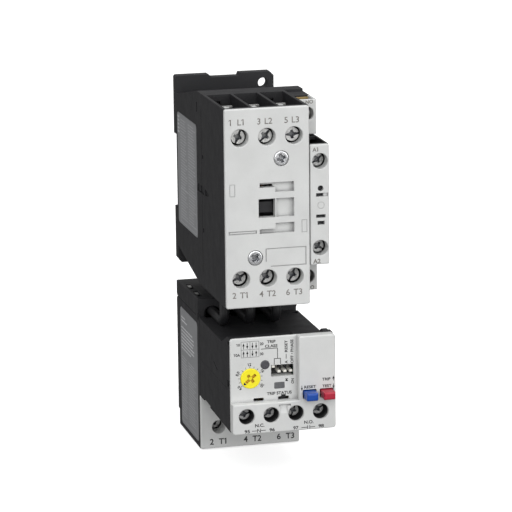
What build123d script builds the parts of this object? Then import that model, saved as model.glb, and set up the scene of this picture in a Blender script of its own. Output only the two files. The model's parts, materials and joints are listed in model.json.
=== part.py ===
from build123d import *
import os

# Magnetic motor starter: a 45 mm wide three-pole contactor with an electronic
# overload relay hanging from its load terminals.
#
# Frame: +X to the right of someone facing the front, +Z up, the front faces -Y.
# The origin is on the mounting plane, at the centre of the two fixing holes.
# "Depth" always means the distance in front of the mounting plane (depth = -Y).

# ---------------------------------------------------------------- driving sizes
HALF_WIDTH = 22.5
POLE_X = (-15.95, -4.3, 7.35)
POLE_CHAMBER_HALF = 5.25
AUX_X = 18.3

# Contactor
FLANGE_DEPTH = 5.0
FLANGE_TOP = 42.5
FLANGE_BOTTOM = -42.5
RAIL_TOP = 16.2
RAIL_BOTTOM = -16.9
FIX_X = 17.5
FIX_Z = 37.5
FIX_RADIUS = 2.25
WAIST_HALF_HEIGHT = 34.5
HALF_HEIGHT = 42.5
SHOULDER_DEPTH = 47.0
SEAM_DEPTH = 55.0
FUNNEL_BACK = 59.0
FUNNEL_FRONT = 93.0
HOUSING_FRONT = 95.4
COVER_FRONT = 97.0
MAIN_RIGHT = 13.9
COLUMN_LEFT = 14.3
COLUMN_HALF_HEIGHT = 25.75
AUX_BLOCK_FRONT = 77.0
AUX_BLOCK_BACK = 66.4
AUX_BLOCK_TOP = 41.5
AUX_BLOCK_BOTTOM = 26.2
AUX_SCREW_Z = 35.4
MAIN_SCREW_Z = 30.2
MAIN_HOLE_RADIUS = 3.75
COIL_SCREW_X = 18.5
COIL_SCREW_Z = 18.6
COIL_HOLE_RADIUS = 3.35
COVER_SCREWS = ((1.8, 20.8), (-9.8, -21.1))

# Moving contact system: the carrier travels 5 mm towards the mounting plane,
# the bridges 4 mm, and the contact springs take up the last millimetre.
CARRIER_TRAVEL = 5.0
BRIDGE_TRAVEL = 4.0
CONTACT_CLEARANCE = 0.03
BAR_BACK = 66.65
BAR_FRONT = 68.15
TIP_THICKNESS = 1.0
FIXED_TIP_FACE = BAR_FRONT + TIP_THICKNESS
BRIDGE_TIP_FACE = FIXED_TIP_FACE + BRIDGE_TRAVEL + CONTACT_CLEARANCE
BRIDGE_BACK = BRIDGE_TIP_FACE + TIP_THICKNESS
BRIDGE_FRONT = BRIDGE_BACK + 1.4
AUX_BAR_BACK = 60.8
AUX_BAR_FRONT = 61.8
AUX_FIXED_FACE = AUX_BAR_FRONT + 0.8
AUX_TIP_FACE = AUX_FIXED_FACE + BRIDGE_TRAVEL + CONTACT_CLEARANCE
AUX_BRIDGE_BACK = AUX_TIP_FACE + 0.8
AUX_BRIDGE_FRONT = AUX_BRIDGE_BACK + 1.0
AUX_CONTACT_X = 17.0

# Magnet
CORE_HALF_STACK = 8.0
CORE_HALF_HEIGHT = 26.0
LEG_INNER = 20.0
CENTRE_LEG = 6.0
CORE_BACK = 9.0
YOKE_FRONT = 15.5
POLE_FACE = 31.0
ARMATURE_FACE = POLE_FACE + CARRIER_TRAVEL + 0.1
ARMATURE_YOKE_BACK = 45.0
ARMATURE_FRONT = 51.0
CARRIER_PLATE_FRONT = 53.4
BOBBIN_BACK = 15.9
BOBBIN_FRONT = 39.4

# Conductors from the contactor down into the relay
ROD_DEPTH = 65.0
ROD_DROP_DEPTH = 20.0
ROD_Z = -56.5
ROD_CORE_RADIUS = 1.6
ROD_RADIUS = 2.05
ROD_BEND = 4.6

# Overload relay
RELAY_TOP = -50.8
RELAY_BOTTOM = -118.7
BLOCK_FRONT = 42.0
BASE_FRONT = 45.0
SHELF_Z = -58.7
SHELL_SEAM_Z = -77.0
SHELL_BOTTOM = -94.7
SHELL_FRONT = 101.0
PANEL_FRONT = 102.0
RELAY_FRONT = 105.7
RELAY_COVER_TOP = -54.2
RELAY_COVER_BOTTOM = -95.2
PANEL_RIGHT = 6.5
PANEL_BOTTOM = -82.0
OUTPUT_X = (-14.4, 1.1, 16.6)
OUTPUT_Z = -109.0
OUTPUT_HOLE_RADIUS = 3.1
SIGNAL_X = (-16.45, -5.7, 5.05, 15.85)
SIGNAL_Z = -87.5
SIGNAL_HOLE_RADIUS = 3.4
DIAL_X = -13.8
DIAL_Z = -71.8
DIAL_RADIUS = 4.35
LENS_X = -7.4
LENS_Z = -66.3
LENS_RADIUS = 1.95
DIP_X = 0.1
DIP_PITCH = 2.54
DIP_UP_Z = -67.5
DIP_DOWN_Z = -69.8
DIP_BODY_FRONT = 97.3
DIP_FINGER_HALF = 0.5
DIP_FOOT_HALF = 0.8
RESET_X = 10.85
TEST_X = 18.35
LEVER_WINDOW_TOP = -77.5
LEVER_WINDOW_BOTTOM = -81.5
TRIP_TRAVEL = 1.5

os.makedirs("parts", exist_ok=True)


# ---------------------------------------------------------------- shared helpers
def front(depth):
    """Plane facing the front, this far in front of the mounting plane."""
    return Plane.XZ.offset(depth)


def block(x0, x1, d0, d1, z0, z1, mode=Mode.ADD):
    """Box between two X values, two depths and two heights."""
    with Locations(((x0 + x1) / 2, -(d0 + d1) / 2, (z0 + z1) / 2)):
        Box(x1 - x0, d1 - d0, z1 - z0, mode=mode)


def peg(x, z, radius, d0, d1, mode=Mode.ADD):
    """Round bar along Y between two depths."""
    with Locations(Location((x, -(d0 + d1) / 2, z), (90, 0, 0))):
        Cylinder(radius, d1 - d0, mode=mode)


def tube(x, z, outer, inner, d0, d1):
    """Hollow round bar along Y between two depths."""
    peg(x, z, outer, d0, d1)
    peg(x, z, inner, d0, d1, mode=Mode.SUBTRACT)


def side_profile(points, x0, x1, mode=Mode.ADD):
    """Prism along X whose outline is given as (depth, height) points."""
    with BuildSketch(Plane.YZ.offset(x0)) as outline:
        with BuildLine():
            Polyline([(-depth, height) for depth, height in points], close=True)
        make_face()
    extrude(outline.sketch, amount=x1 - x0, mode=mode)


def rounded_window(x0, x1, z0, z1, radius, d0, d1, mode=Mode.SUBTRACT):
    """Rounded rectangle between two depths, cut unless told otherwise."""
    with BuildSketch(front(d0)) as outline:
        with Locations(((x0 + x1) / 2, (z0 + z1) / 2)):
            RectangleRounded(x1 - x0, z1 - z0, radius)
    extrude(outline.sketch, amount=d1 - d0, mode=mode)


def cross_screw(x, z, head_radius, head_back, head_front, shank_radius, shank_end, turn, slot=0.0):
    """Screw along Y with a cross recess, and a straight slot too if slot is its half length."""
    peg(x, z, head_radius, head_back, head_front)
    peg(x, z, shank_radius, shank_end, head_back)
    reach = head_radius * 0.62
    arm = head_radius * 0.4
    recess = (head_front - head_back) * 0.62
    with BuildSketch(front(head_front)) as cross:
        with Locations(Location((x, z, 0), (0, 0, turn))):
            Rectangle(2 * reach, arm)
            Rectangle(arm, 2 * reach)
            if slot:
                Rectangle(2 * slot, arm * 0.75)
    extrude(cross.sketch, amount=-recess, mode=Mode.SUBTRACT)
    with BuildSketch(front(head_front)) as heart:
        with Locations((x, z)):
            Circle(arm * 1.1)
    extrude(heart.sketch, amount=-recess * 1.2, mode=Mode.SUBTRACT)


def coil_spring(start, direction, length, radius, wire, turns):
    """Helical spring wire that starts at a point and runs along a direction."""
    with BuildLine() as path:
        Helix(pitch=length / turns, height=length, radius=radius, center=start, direction=direction)
    with BuildSketch(Plane(path.line @ 0, z_dir=path.line % 0)) as section:
        Circle(wire)
    sweep(section.sketch, path=path.line)


def span(sign, near, far):
    """Two heights in rising order, above the middle for a sign of 1 and below it for -1."""
    return sorted((sign * near, sign * far))


# ---------------------------------------------------------------- contactor housings
HOUSING_OUTLINE = (
    (FLANGE_DEPTH, WAIST_HALF_HEIGHT),
    (SHOULDER_DEPTH, HALF_HEIGHT),
    (SEAM_DEPTH, HALF_HEIGHT),
    (SEAM_DEPTH, -HALF_HEIGHT),
    (SHOULDER_DEPTH, -HALF_HEIGHT),
    (FLANGE_DEPTH, -WAIST_HALF_HEIGHT),
)
BASE_CAVITY = (
    (7.6, 31.0),
    (44.5, 38.6),
    (SEAM_DEPTH + 1, 38.6),
    (SEAM_DEPTH + 1, -38.6),
    (44.5, -38.6),
    (7.6, -31.0),
)
BASE_WALL = 1.6
LIP_GROOVE_BACK = 3.7
LATCH_HALF_WIDTH = 8.0
LATCH_BACK = 1.1
LATCH_FRONT = 3.6
SNAP_LOW = -1.3
SNAP_HIGH = 2.1

with BuildPart() as base_housing:
    side_profile(HOUSING_OUTLINE, -HALF_WIDTH, HALF_WIDTH)
    long_edges = base_housing.edges().filter_by(Axis.X)
    fillet(long_edges.filter_by(lambda edge: abs(edge.center().Y + SHOULDER_DEPTH) < 1), 1.2)
    # Mounting flanges above and below the rail recess
    with BuildSketch(front(0)):
        with BuildLine():
            Polyline(
                [
                    (-HALF_WIDTH, RAIL_TOP),
                    (-HALF_WIDTH, FLANGE_TOP - 0.7),
                    (-HALF_WIDTH + 0.7, FLANGE_TOP),
                    (-7.4, FLANGE_TOP),
                    (-6.0, FLANGE_TOP - 1.4),
                    (6.4, FLANGE_TOP - 1.4),
                    (6.9, FLANGE_TOP),
                    (HALF_WIDTH - 1.8, FLANGE_TOP),
                    (HALF_WIDTH, FLANGE_TOP - 1.8),
                    (HALF_WIDTH, RAIL_TOP),
                ],
                close=True,
            )
        make_face()
        with BuildLine():
            Polyline(
                [
                    (-HALF_WIDTH, RAIL_BOTTOM),
                    (-HALF_WIDTH, FLANGE_BOTTOM + 2.0),
                    (-HALF_WIDTH + 1.5, FLANGE_BOTTOM),
                    (HALF_WIDTH - 1.5, FLANGE_BOTTOM),
                    (HALF_WIDTH, FLANGE_BOTTOM + 2.0),
                    (HALF_WIDTH, RAIL_BOTTOM),
                ],
                close=True,
            )
        make_face()
    extrude(amount=FLANGE_DEPTH)
    side_profile(BASE_CAVITY, -HALF_WIDTH + BASE_WALL, HALF_WIDTH - BASE_WALL, mode=Mode.SUBTRACT)
    for x, z in ((FIX_X, FIX_Z), (-FIX_X, -FIX_Z)):
        peg(x, z, FIX_RADIUS, -1, FLANGE_DEPTH + 4, mode=Mode.SUBTRACT)
    # Grooves that take the lips of the mounting rail
    block(-30, 30, LIP_GROOVE_BACK, FLANGE_DEPTH, RAIL_TOP - 1, 17.8, mode=Mode.SUBTRACT)
    block(-30, 30, LIP_GROOVE_BACK, FLANGE_DEPTH, -17.8, RAIL_BOTTOM + 1, mode=Mode.SUBTRACT)
    # Channel for the sliding rail latch, crossed by the peg that holds its spring
    channel = LATCH_HALF_WIDTH + 0.1
    block(-channel, channel, 1.0, 3.7, -43, RAIL_BOTTOM + 1, mode=Mode.SUBTRACT)
    block(-1.8, 1.8, 1.0, 3.7, -34.2, -32.6)
    # Snap windows in both side walls, a moulded slot and the label recess
    for x in (-HALF_WIDTH, HALF_WIDTH):
        block(x - 1.7, x + 1.7, 46.0, 50.5, SNAP_LOW, SNAP_HIGH, mode=Mode.SUBTRACT)
        block(x - 0.8, x + 0.8, 50.4, SEAM_DEPTH + 1, SNAP_LOW, SNAP_HIGH, mode=Mode.SUBTRACT)
        block(x - 0.7, x + 0.7, 45.2, 46.8, 33.0, 37.6, mode=Mode.SUBTRACT)
    with BuildSketch(Plane.YZ.offset(-HALF_WIDTH)):
        with Locations((-25.75, 2.05)):
            RectangleRounded(37.9, 50.5, 2.0)
    extrude(amount=0.2, mode=Mode.SUBTRACT)
    # Shallow moulded steps behind the seam
    for x in (-HALF_WIDTH, HALF_WIDTH):
        block(x - 0.35, x + 0.35, 53.9, 54.5, -36, 36, mode=Mode.SUBTRACT)
base_housing.part.label = "base_housing"
export_step(base_housing.part, "parts/base_housing.step")

with BuildPart() as contactor_label:
    with BuildSketch(Plane.YZ.offset(-HALF_WIDTH + 0.2)):
        with Locations((-25.75, 2.05)):
            RectangleRounded(37.5, 50.1, 1.8)
    extrude(amount=-0.16)
contactor_label.part.label = "contactor_label"
export_step(contactor_label.part, "parts/contactor_label.step")

with BuildPart() as rail_latch:
    side_profile(
        (
            (LATCH_BACK + 1.2, -15.9),
            (LATCH_FRONT, -15.9),
            (LATCH_FRONT, -46.0),
            (LATCH_BACK, -46.0),
            (LATCH_BACK, -17.3),
        ),
        -LATCH_HALF_WIDTH,
        LATCH_HALF_WIDTH,
    )
    block(-2.0, 2.0, 0, 5, -36.8, -24.0, mode=Mode.SUBTRACT)
    rounded_window(-2.6, 2.6, -45.0, -43.5, 0.6, 0, 5)
    lower_corners = rail_latch.edges().filter_by(Axis.Y).group_by(Axis.Z)[0]
    fillet(lower_corners, 1.2)
rail_latch.part.label = "rail_latch"
export_step(rail_latch.part, "parts/rail_latch.step")

with BuildPart() as rail_latch_spring:
    coil_spring((0, -2.35, -32.3), (0, 0, 1), 8.0, 0.85, 0.2, 7)
rail_latch_spring.part.label = "rail_latch_spring"
export_step(rail_latch_spring.part, "parts/rail_latch_spring.step")

RIGHT_WALL_LEFT = 12.6
COLUMN_WALL_RIGHT = HALF_WIDTH - 0.85
CHANNEL_HALF = 6.0
PARTITION_NEAR = 20.0
PARTITION_FAR = 21.6
BOSS_RADIUS = 2.35
# Hooks of the front cover, which pass through the housing's front wall into each funnel
HOOK_LEFT = -5.1
HOOK_RIGHT = -2.7
HOOK_NEAR = 40.9
HOOK_FAR = 42.1
HOOK_BACK = 88.0
# Deep middle of the front cover, which fills an opening in the housing's front wall
POCKET_LEFT = -8.9
POCKET_RIGHT = 8.0
POCKET_LOW = -11.7
POCKET_HIGH = 11.6
POCKET_BACK = FUNNEL_FRONT + 0.5
POCKET_GAP = 0.1
# Coil strips, which run forward through the column's back wall
STRIP_NEAR = 13.6
STRIP_FAR = 16.9

with BuildPart() as upper_housing:
    block(-HALF_WIDTH, MAIN_RIGHT, SEAM_DEPTH, HOUSING_FRONT, -HALF_HEIGHT, HALF_HEIGHT)
    front_uprights = upper_housing.edges().filter_by(Axis.Z).group_by(Axis.Y)[0]
    fillet(front_uprights.sort_by(Axis.X)[0], 0.6)
    # Column on the right for the coil and auxiliary terminals
    column = COLUMN_HALF_HEIGHT
    block(MAIN_RIGHT - 0.5, HALF_WIDTH, SEAM_DEPTH, HOUSING_FRONT, -column, column)
    block(MAIN_RIGHT - 0.5, HALF_WIDTH, SEAM_DEPTH, AUX_BLOCK_BACK, -AUX_BLOCK_TOP, AUX_BLOCK_TOP)
    # Pole chambers: wire funnels at both ends, contact chamber between the partitions
    for pole in POLE_X:
        left = pole - POLE_CHAMBER_HALF
        right = pole + POLE_CHAMBER_HALF
        for sign in (1, -1):
            near, far = span(sign, PARTITION_FAR, HALF_HEIGHT + 1)
            block(left, right, FUNNEL_BACK, FUNNEL_FRONT, near, far, mode=Mode.SUBTRACT)
        block(
            left, right, FUNNEL_BACK, FUNNEL_FRONT, -PARTITION_NEAR, PARTITION_NEAR, mode=Mode.SUBTRACT
        )
    # Column chamber, closed at the back below the auxiliary blocks
    chamber_left = MAIN_RIGHT + 1.0
    block(chamber_left, COLUMN_WALL_RIGHT, 58.0, 93.6, -24.4, 24.4, mode=Mode.SUBTRACT)
    block(chamber_left, COLUMN_WALL_RIGHT, 78.2, 93.6, -26.5, 26.5, mode=Mode.SUBTRACT)
    block(chamber_left, COLUMN_WALL_RIGHT, 58.0, AUX_BLOCK_BACK + 1, -40.4, 40.4, mode=Mode.SUBTRACT)
    block(MAIN_RIGHT, HALF_WIDTH + 1, AUX_BLOCK_BACK, 77.2, 25.7, 26.5, mode=Mode.SUBTRACT)
    # Bosses for the two cover screws
    for x, z in COVER_SCREWS:
        peg(x, z, BOSS_RADIUS, SEAM_DEPTH + 2, HOUSING_FRONT)
        peg(x, z, 1.52, 76.5, HOUSING_FRONT + 1, mode=Mode.SUBTRACT)
        peg(x, z, 3.3, HOUSING_FRONT - 0.9, HOUSING_FRONT + 1, mode=Mode.SUBTRACT)
    # Channel in which the contact carrier slides, open to the magnet and to the front window
    block(-21.2, RIGHT_WALL_LEFT, FUNNEL_BACK, 90.8, -CHANNEL_HALF, CHANNEL_HALF, mode=Mode.SUBTRACT)
    block(-14.0, RIGHT_WALL_LEFT, 50, FUNNEL_BACK + 1, -CHANNEL_HALF, CHANNEL_HALF, mode=Mode.SUBTRACT)
    block(RIGHT_WALL_LEFT - 1, 19.3, 58, 82, -CHANNEL_HALF, CHANNEL_HALF, mode=Mode.SUBTRACT)
    block(-8.3, -0.9, 88, HOUSING_FRONT + 1, -4.2, 4.0, mode=Mode.SUBTRACT)
    left, right = POCKET_LEFT - POCKET_GAP, POCKET_RIGHT + POCKET_GAP
    low, high = POCKET_LOW - POCKET_GAP, POCKET_HIGH + POCKET_GAP
    block(left, right, FUNNEL_FRONT, HOUSING_FRONT + 1, low, high, mode=Mode.SUBTRACT)
    # Slots in the partitions for the contact bars, and screwdriver wells
    for pole in POLE_X:
        for sign in (1, -1):
            slot = span(sign, PARTITION_NEAR - 0.5, PARTITION_FAR + 1.4)
            block(pole - 3.06, pole + 3.06, BAR_BACK - 0.1, BAR_FRONT + 0.1, *slot, mode=Mode.SUBTRACT)
            peg(pole, sign * MAIN_SCREW_Z, 4.7, 92.0, HOUSING_FRONT + 1, mode=Mode.SUBTRACT)
            hook = span(sign, HOOK_NEAR - 0.1, HOOK_FAR + 0.1)
            left, right = pole + HOOK_LEFT - 0.1, pole + HOOK_RIGHT + 0.1
            block(left, right, FUNNEL_FRONT - 1, HOUSING_FRONT + 1, *hook, mode=Mode.SUBTRACT)
    for pole in (POLE_X[0], POLE_X[2]):
        for z in (37.6, -37.6):
            block(pole - 3.4, pole + 1.0, 56.6, 60, z - 2.0, z + 2.0, mode=Mode.SUBTRACT)
    for z in (COIL_SCREW_Z, -COIL_SCREW_Z):
        peg(COIL_SCREW_X, z, 3.95, 92.0, HOUSING_FRONT + 1, mode=Mode.SUBTRACT)
    # Slots for the coil strips where they come through the column's back wall
    for sign in (1, -1):
        block(19.7, 20.9, 50, 59, *span(sign, STRIP_NEAR - 0.3, STRIP_FAR + 0.3), mode=Mode.SUBTRACT)
    # Snap tongues into the lower housing
    for side in (-1, 1):
        block(*span(side, 19.2, 20.85), 45.5, 58, SNAP_LOW - 0.9, SNAP_HIGH + 0.9)
        block(*span(side, 20.5, 22.1), 47.0, 50.2, SNAP_LOW + 0.2, SNAP_HIGH - 0.2)
        wall = side * HALF_WIDTH
        block(wall - 0.8, wall + 0.8, 50, 58.4, SNAP_LOW, SNAP_HIGH, mode=Mode.SUBTRACT)
        block(wall - 0.6, wall + 0.6, 55, 57.2, 14.2, 16.0, mode=Mode.SUBTRACT)
        block(wall - 0.6, wall + 0.6, 55, 57.2, -18.0, -16.2, mode=Mode.SUBTRACT)
        # Tapered finger recess in front of the snap window
        side_profile(
            ((59.6, -1.1), (66.5, -0.2), (68.0, 1.0), (59.6, 1.9)),
            wall - 0.7,
            wall + 0.7,
            mode=Mode.SUBTRACT,
        )
    # Drip edge grooves behind the front cover
    block(
        -HALF_WIDTH - 0.3, -HALF_WIDTH + 0.3, 94.7, 97, -HALF_HEIGHT, HALF_HEIGHT, mode=Mode.SUBTRACT
    )
upper_housing.part.label = "upper_housing"
export_step(upper_housing.part, "parts/upper_housing.step")


# ---------------------------------------------------------------- contactor covers
GROOVE_DEPTH = 0.35
GROOVE_WIDTH = 0.4
COLLAR_WALL = 0.85
COLLAR_BACK = 92.2
WINDOW_SPLIT = -1.0


def engraved_line(points, width, face, depth):
    """Groove along an open run of (x, z) points in a front face."""
    with BuildSketch(front(face)) as trace_sketch:
        with BuildLine() as run:
            Polyline(points)
        trace(run.wires()[0], width)
    extrude(trace_sketch.sketch, amount=-depth, mode=Mode.SUBTRACT)


with BuildPart() as front_cover:
    with BuildSketch(front(HOUSING_FRONT)):
        with Locations(((MAIN_RIGHT - HALF_WIDTH) / 2, 0)):
            RectangleRounded(MAIN_RIGHT + HALF_WIDTH, 2 * HALF_HEIGHT, 0.9)
    extrude(amount=COVER_FRONT - HOUSING_FRONT)
    fillet(front_cover.faces().sort_by(Axis.Y)[0].edges(), 0.55)
    for pole in POLE_X:
        for z in (MAIN_SCREW_Z, -MAIN_SCREW_Z):
            tube(pole, z, MAIN_HOLE_RADIUS + COLLAR_WALL, MAIN_HOLE_RADIUS, COLLAR_BACK, HOUSING_FRONT)
            peg(pole, z, MAIN_HOLE_RADIUS, HOUSING_FRONT - 1, COVER_FRONT + 1, mode=Mode.SUBTRACT)
        for sign in (1, -1):
            hook = span(sign, HOOK_NEAR, HOOK_FAR)
            block(pole + HOOK_LEFT, pole + HOOK_RIGHT, HOOK_BACK, HOUSING_FRONT + 0.1, *hook)
    hole_rims = front_cover.edges().filter_by(GeomType.CIRCLE).group_by(Axis.Y)[0]
    chamfer(hole_rims, 0.22)
    for x, z in COVER_SCREWS:
        peg(x, z, 3.3, HOUSING_FRONT - 1, COVER_FRONT + 1, mode=Mode.SUBTRACT)
    # Main window: the carrier shows through its left half, its right half is a recess
    block(POCKET_LEFT, POCKET_RIGHT, POCKET_BACK, HOUSING_FRONT + 0.1, POCKET_LOW, POCKET_HIGH)
    recess = 2.5
    block(-8.2, WINDOW_SPLIT, 90, 98, -4.1, 3.9, mode=Mode.SUBTRACT)
    block(WINDOW_SPLIT + 0.45, 7.2, COVER_FRONT - recess, 98, -4.1, 3.9, mode=Mode.SUBTRACT)
    # Latching slots above and below the window
    block(-7.7, 7.2, COVER_FRONT - recess, 98, 8.7, 10.8, mode=Mode.SUBTRACT)
    block(-0.9, 7.2, COVER_FRONT - recess, 98, 6.6, 8.8, mode=Mode.SUBTRACT)
    block(-7.7, -1.5, 92, 98, 8.7, 9.7, mode=Mode.SUBTRACT)
    block(-7.8, 7.2, COVER_FRONT - recess, 98, -10.9, -9.0, mode=Mode.SUBTRACT)
    block(-0.9, 7.2, COVER_FRONT - recess, 98, -9.1, -6.6, mode=Mode.SUBTRACT)
    # Narrow channel beside the lower slot, and the moulded outlines
    block(-21.2, -9.1, COVER_FRONT - 0.5, 98, -10.7, -9.3, mode=Mode.SUBTRACT)
    block(-20.7, -9.8, COVER_FRONT - 0.51, COVER_FRONT - 0.15, -10.25, -9.7)
    engraved_line(
        ((-5.2, -23.0), (-5.2, -17.5), (12.1, -17.5), (12.1, -25.1), (-3.1, -25.1)),
        GROOVE_WIDTH,
        COVER_FRONT,
        GROOVE_DEPTH,
    )
    for x0, x1, z0, z1 in ((-20.5, -18.4, 5.7, 10.7), (10.5, 12.6, -11.2, -6.0)):
        engraved_line(((x0, z0), (x0, z1), (x1, z1), (x1, z0), (x0, z0)), 0.25, COVER_FRONT, 0.2)
front_cover.part.label = "front_cover"
export_step(front_cover.part, "parts/front_cover.step")

with BuildPart() as cover_screws:
    for (x, z), turn in zip(COVER_SCREWS, (18, 52)):
        cross_screw(x, z, 3.12, HOUSING_FRONT - 0.85, COVER_FRONT + 0.05, 1.5, 77.0, turn)
    crown = cover_screws.edges().filter_by(GeomType.CIRCLE).group_by(Axis.Y)[0]
    fillet(crown.filter_by(lambda edge: edge.radius > 3), 0.5)
cover_screws.part.label = "cover_screws"
export_step(cover_screws.part, "parts/cover_screws.step")

with BuildPart() as coil_terminal_cover:
    with BuildSketch(front(HOUSING_FRONT)):
        with Locations(((COLUMN_LEFT + HALF_WIDTH) / 2, 0)):
            RectangleRounded(HALF_WIDTH - COLUMN_LEFT, 2 * COLUMN_HALF_HEIGHT, 0.6)
    extrude(amount=COVER_FRONT - HOUSING_FRONT)
    fillet(coil_terminal_cover.faces().sort_by(Axis.Y)[0].edges(), 0.5)
    for z in (COIL_SCREW_Z, -COIL_SCREW_Z):
        tube(COIL_SCREW_X, z, 3.9, COIL_HOLE_RADIUS, COLLAR_BACK, HOUSING_FRONT)
        peg(COIL_SCREW_X, z, COIL_HOLE_RADIUS, HOUSING_FRONT - 1, COVER_FRONT + 1, mode=Mode.SUBTRACT)
    chamfer(coil_terminal_cover.edges().filter_by(GeomType.CIRCLE).group_by(Axis.Y)[0], 0.2)
    # Test-lead hole, the slots below it and a faint moulded ring; all but one shelf go through
    peg(18.7, 7.0, 1.25, 94, 98, mode=Mode.SUBTRACT)
    block(16.7, 21.9, COVER_FRONT - 0.6, 98, 3.5, 5.0, mode=Mode.SUBTRACT)
    block(16.7, 20.0, 94, 98, 3.5, 5.0, mode=Mode.SUBTRACT)
    block(16.7, 20.8, 94, 98, -5.6, -4.2, mode=Mode.SUBTRACT)
    block(17.3, 20.4, 94, 98, -8.6, -7.0, mode=Mode.SUBTRACT)
    with BuildSketch(front(COVER_FRONT)):
        with Locations((18.8, -0.2)):
            Circle(1.5)
            Circle(1.3, mode=Mode.SUBTRACT)
    extrude(amount=-0.15, mode=Mode.SUBTRACT)
coil_terminal_cover.part.label = "coil_terminal_cover"
export_step(coil_terminal_cover.part, "parts/coil_terminal_cover.step")


def aux_cover(sign):
    """Open-topped terminal block beside the main housing; sign is +1 at the top, -1 below."""
    near, far = span(sign, AUX_BLOCK_BOTTOM + 0.35, AUX_BLOCK_TOP)
    with BuildPart() as cover:
        block(MAIN_RIGHT + 0.05, HALF_WIDTH, AUX_BLOCK_BACK + 0.05, AUX_BLOCK_FRONT, near, far)
        fillet(cover.faces().sort_by(Axis.Y)[0].edges(), 0.4)
        well_near, well_far = span(sign, AUX_BLOCK_BOTTOM + 1.6, AUX_BLOCK_TOP + 1)
        block(15.1, 21.5, AUX_BLOCK_BACK - 1, 75.6, well_near, well_far, mode=Mode.SUBTRACT)
        peg(AUX_X, sign * AUX_SCREW_Z, 3.0, 70, 78, mode=Mode.SUBTRACT)
        chamfer(cover.edges().filter_by(GeomType.CIRCLE).group_by(Axis.Y)[0], 0.2)
    return cover


aux_cover_top = aux_cover(1)
aux_cover_top.part.label = "aux_cover_top"
export_step(aux_cover_top.part, "parts/aux_cover_top.step")

aux_cover_bottom = aux_cover(-1)
aux_cover_bottom.part.label = "aux_cover_bottom"
export_step(aux_cover_bottom.part, "parts/aux_cover_bottom.step")


# ---------------------------------------------------------------- contactor terminals
CLAMP_HALF = 4.5
CLAMP_WINDOW_HALF = 3.45
CLAMP_BACK = 61.9
CLAMP_INNER_BACK = 63.35
CLAMP_INNER_FRONT = 74.2
CLAMP_FRONT = 75.8
CLAMP_NEAR = 25.8
CLAMP_FAR = 35.0
CLAMP_TIP = 40.2
SCREW_HEAD_RADIUS = 2.95
SCREW_HEAD_HEIGHT = 3.4
LINE_HEAD_FRONT = 93.4
LOAD_HEAD_FRONT = 92.0

with BuildPart() as main_clamps:
    for pole in POLE_X:
        for sign in (1, -1):
            near, far = span(sign, CLAMP_NEAR, CLAMP_FAR)
            block(pole - CLAMP_HALF, pole + CLAMP_HALF, CLAMP_BACK, CLAMP_FRONT, near, far)
            block(
                pole - CLAMP_WINDOW_HALF,
                pole + CLAMP_WINDOW_HALF,
                CLAMP_INNER_BACK,
                CLAMP_INNER_FRONT,
                near - 1,
                far + 1,
                mode=Mode.SUBTRACT,
            )
            tongue_near, tongue_far = span(sign, CLAMP_FAR, CLAMP_TIP)
            block(pole - 2.1, pole + 2.1, CLAMP_INNER_FRONT, CLAMP_FRONT, tongue_near, tongue_far)
            peg(pole, sign * MAIN_SCREW_Z, 2.05, 70, 80, mode=Mode.SUBTRACT)
main_clamps.part.label = "main_clamps"
export_step(main_clamps.part, "parts/main_clamps.step")

LINE_TURNS = (68, 50, 4)
LOAD_TURNS = (28, 60, 66)
with BuildPart() as main_terminal_screws:
    for z, face, turns in (
        (MAIN_SCREW_Z, LINE_HEAD_FRONT, LINE_TURNS),
        (-MAIN_SCREW_Z, LOAD_HEAD_FRONT, LOAD_TURNS),
    ):
        for x, turn in zip(POLE_X, turns):
            back = face - SCREW_HEAD_HEIGHT
            cross_screw(x, z, SCREW_HEAD_RADIUS, back, face, 2.0, BAR_FRONT + 0.05, turn, 3.2)
main_terminal_screws.part.label = "main_terminal_screws"
export_step(main_terminal_screws.part, "parts/main_terminal_screws.step")


with BuildPart() as fixed_contacts:
    for pole in POLE_X:
        for sign in (1, -1):
            bar = span(sign, 9.8, 35.5)
            tip = span(sign, 9.9, 14.9)
            block(pole - 3.0, pole + 3.0, BAR_BACK, BAR_FRONT, *bar)
            block(pole - 2.6, pole + 2.6, BAR_FRONT, FIXED_TIP_FACE, *tip)
fixed_contacts.part.label = "fixed_contacts"
export_step(fixed_contacts.part, "parts/fixed_contacts.step")

with BuildPart() as aux_contacts:
    for sign in (1, -1):
        bar = span(sign, 7.2, 29.4)
        foot = span(sign, 28.2, 29.4)
        plate = span(sign, 28.2, 41.3)
        tip = span(sign, 7.3, 10.3)
        block(AUX_CONTACT_X - 1.4, AUX_CONTACT_X + 1.4, AUX_BAR_BACK, AUX_BAR_FRONT, *bar)
        block(AUX_CONTACT_X - 1.4, AUX_CONTACT_X + 1.4, AUX_BAR_BACK, 69.8, *foot)
        block(15.6, 20.9, 68.6, 69.8, *plate)
        block(AUX_CONTACT_X - 1.1, AUX_CONTACT_X + 1.1, AUX_BAR_FRONT, AUX_FIXED_FACE, *tip)
        peg(AUX_X, sign * AUX_SCREW_Z, 1.6, 68, 72, mode=Mode.SUBTRACT)
aux_contacts.part.label = "aux_contacts"
export_step(aux_contacts.part, "parts/aux_contacts.step")

with BuildPart() as aux_screws:
    for sign in (1, -1):
        cross_screw(AUX_X, sign * AUX_SCREW_Z, 2.35, 71.2, 73.4, 1.5, 64.5, 30 * sign, 2.5)
        block(15.6, 20.9, 70.2, 71.2, *span(sign, 31.8, 39.0))
aux_screws.part.label = "aux_screws"
export_step(aux_screws.part, "parts/aux_screws.step")

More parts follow.
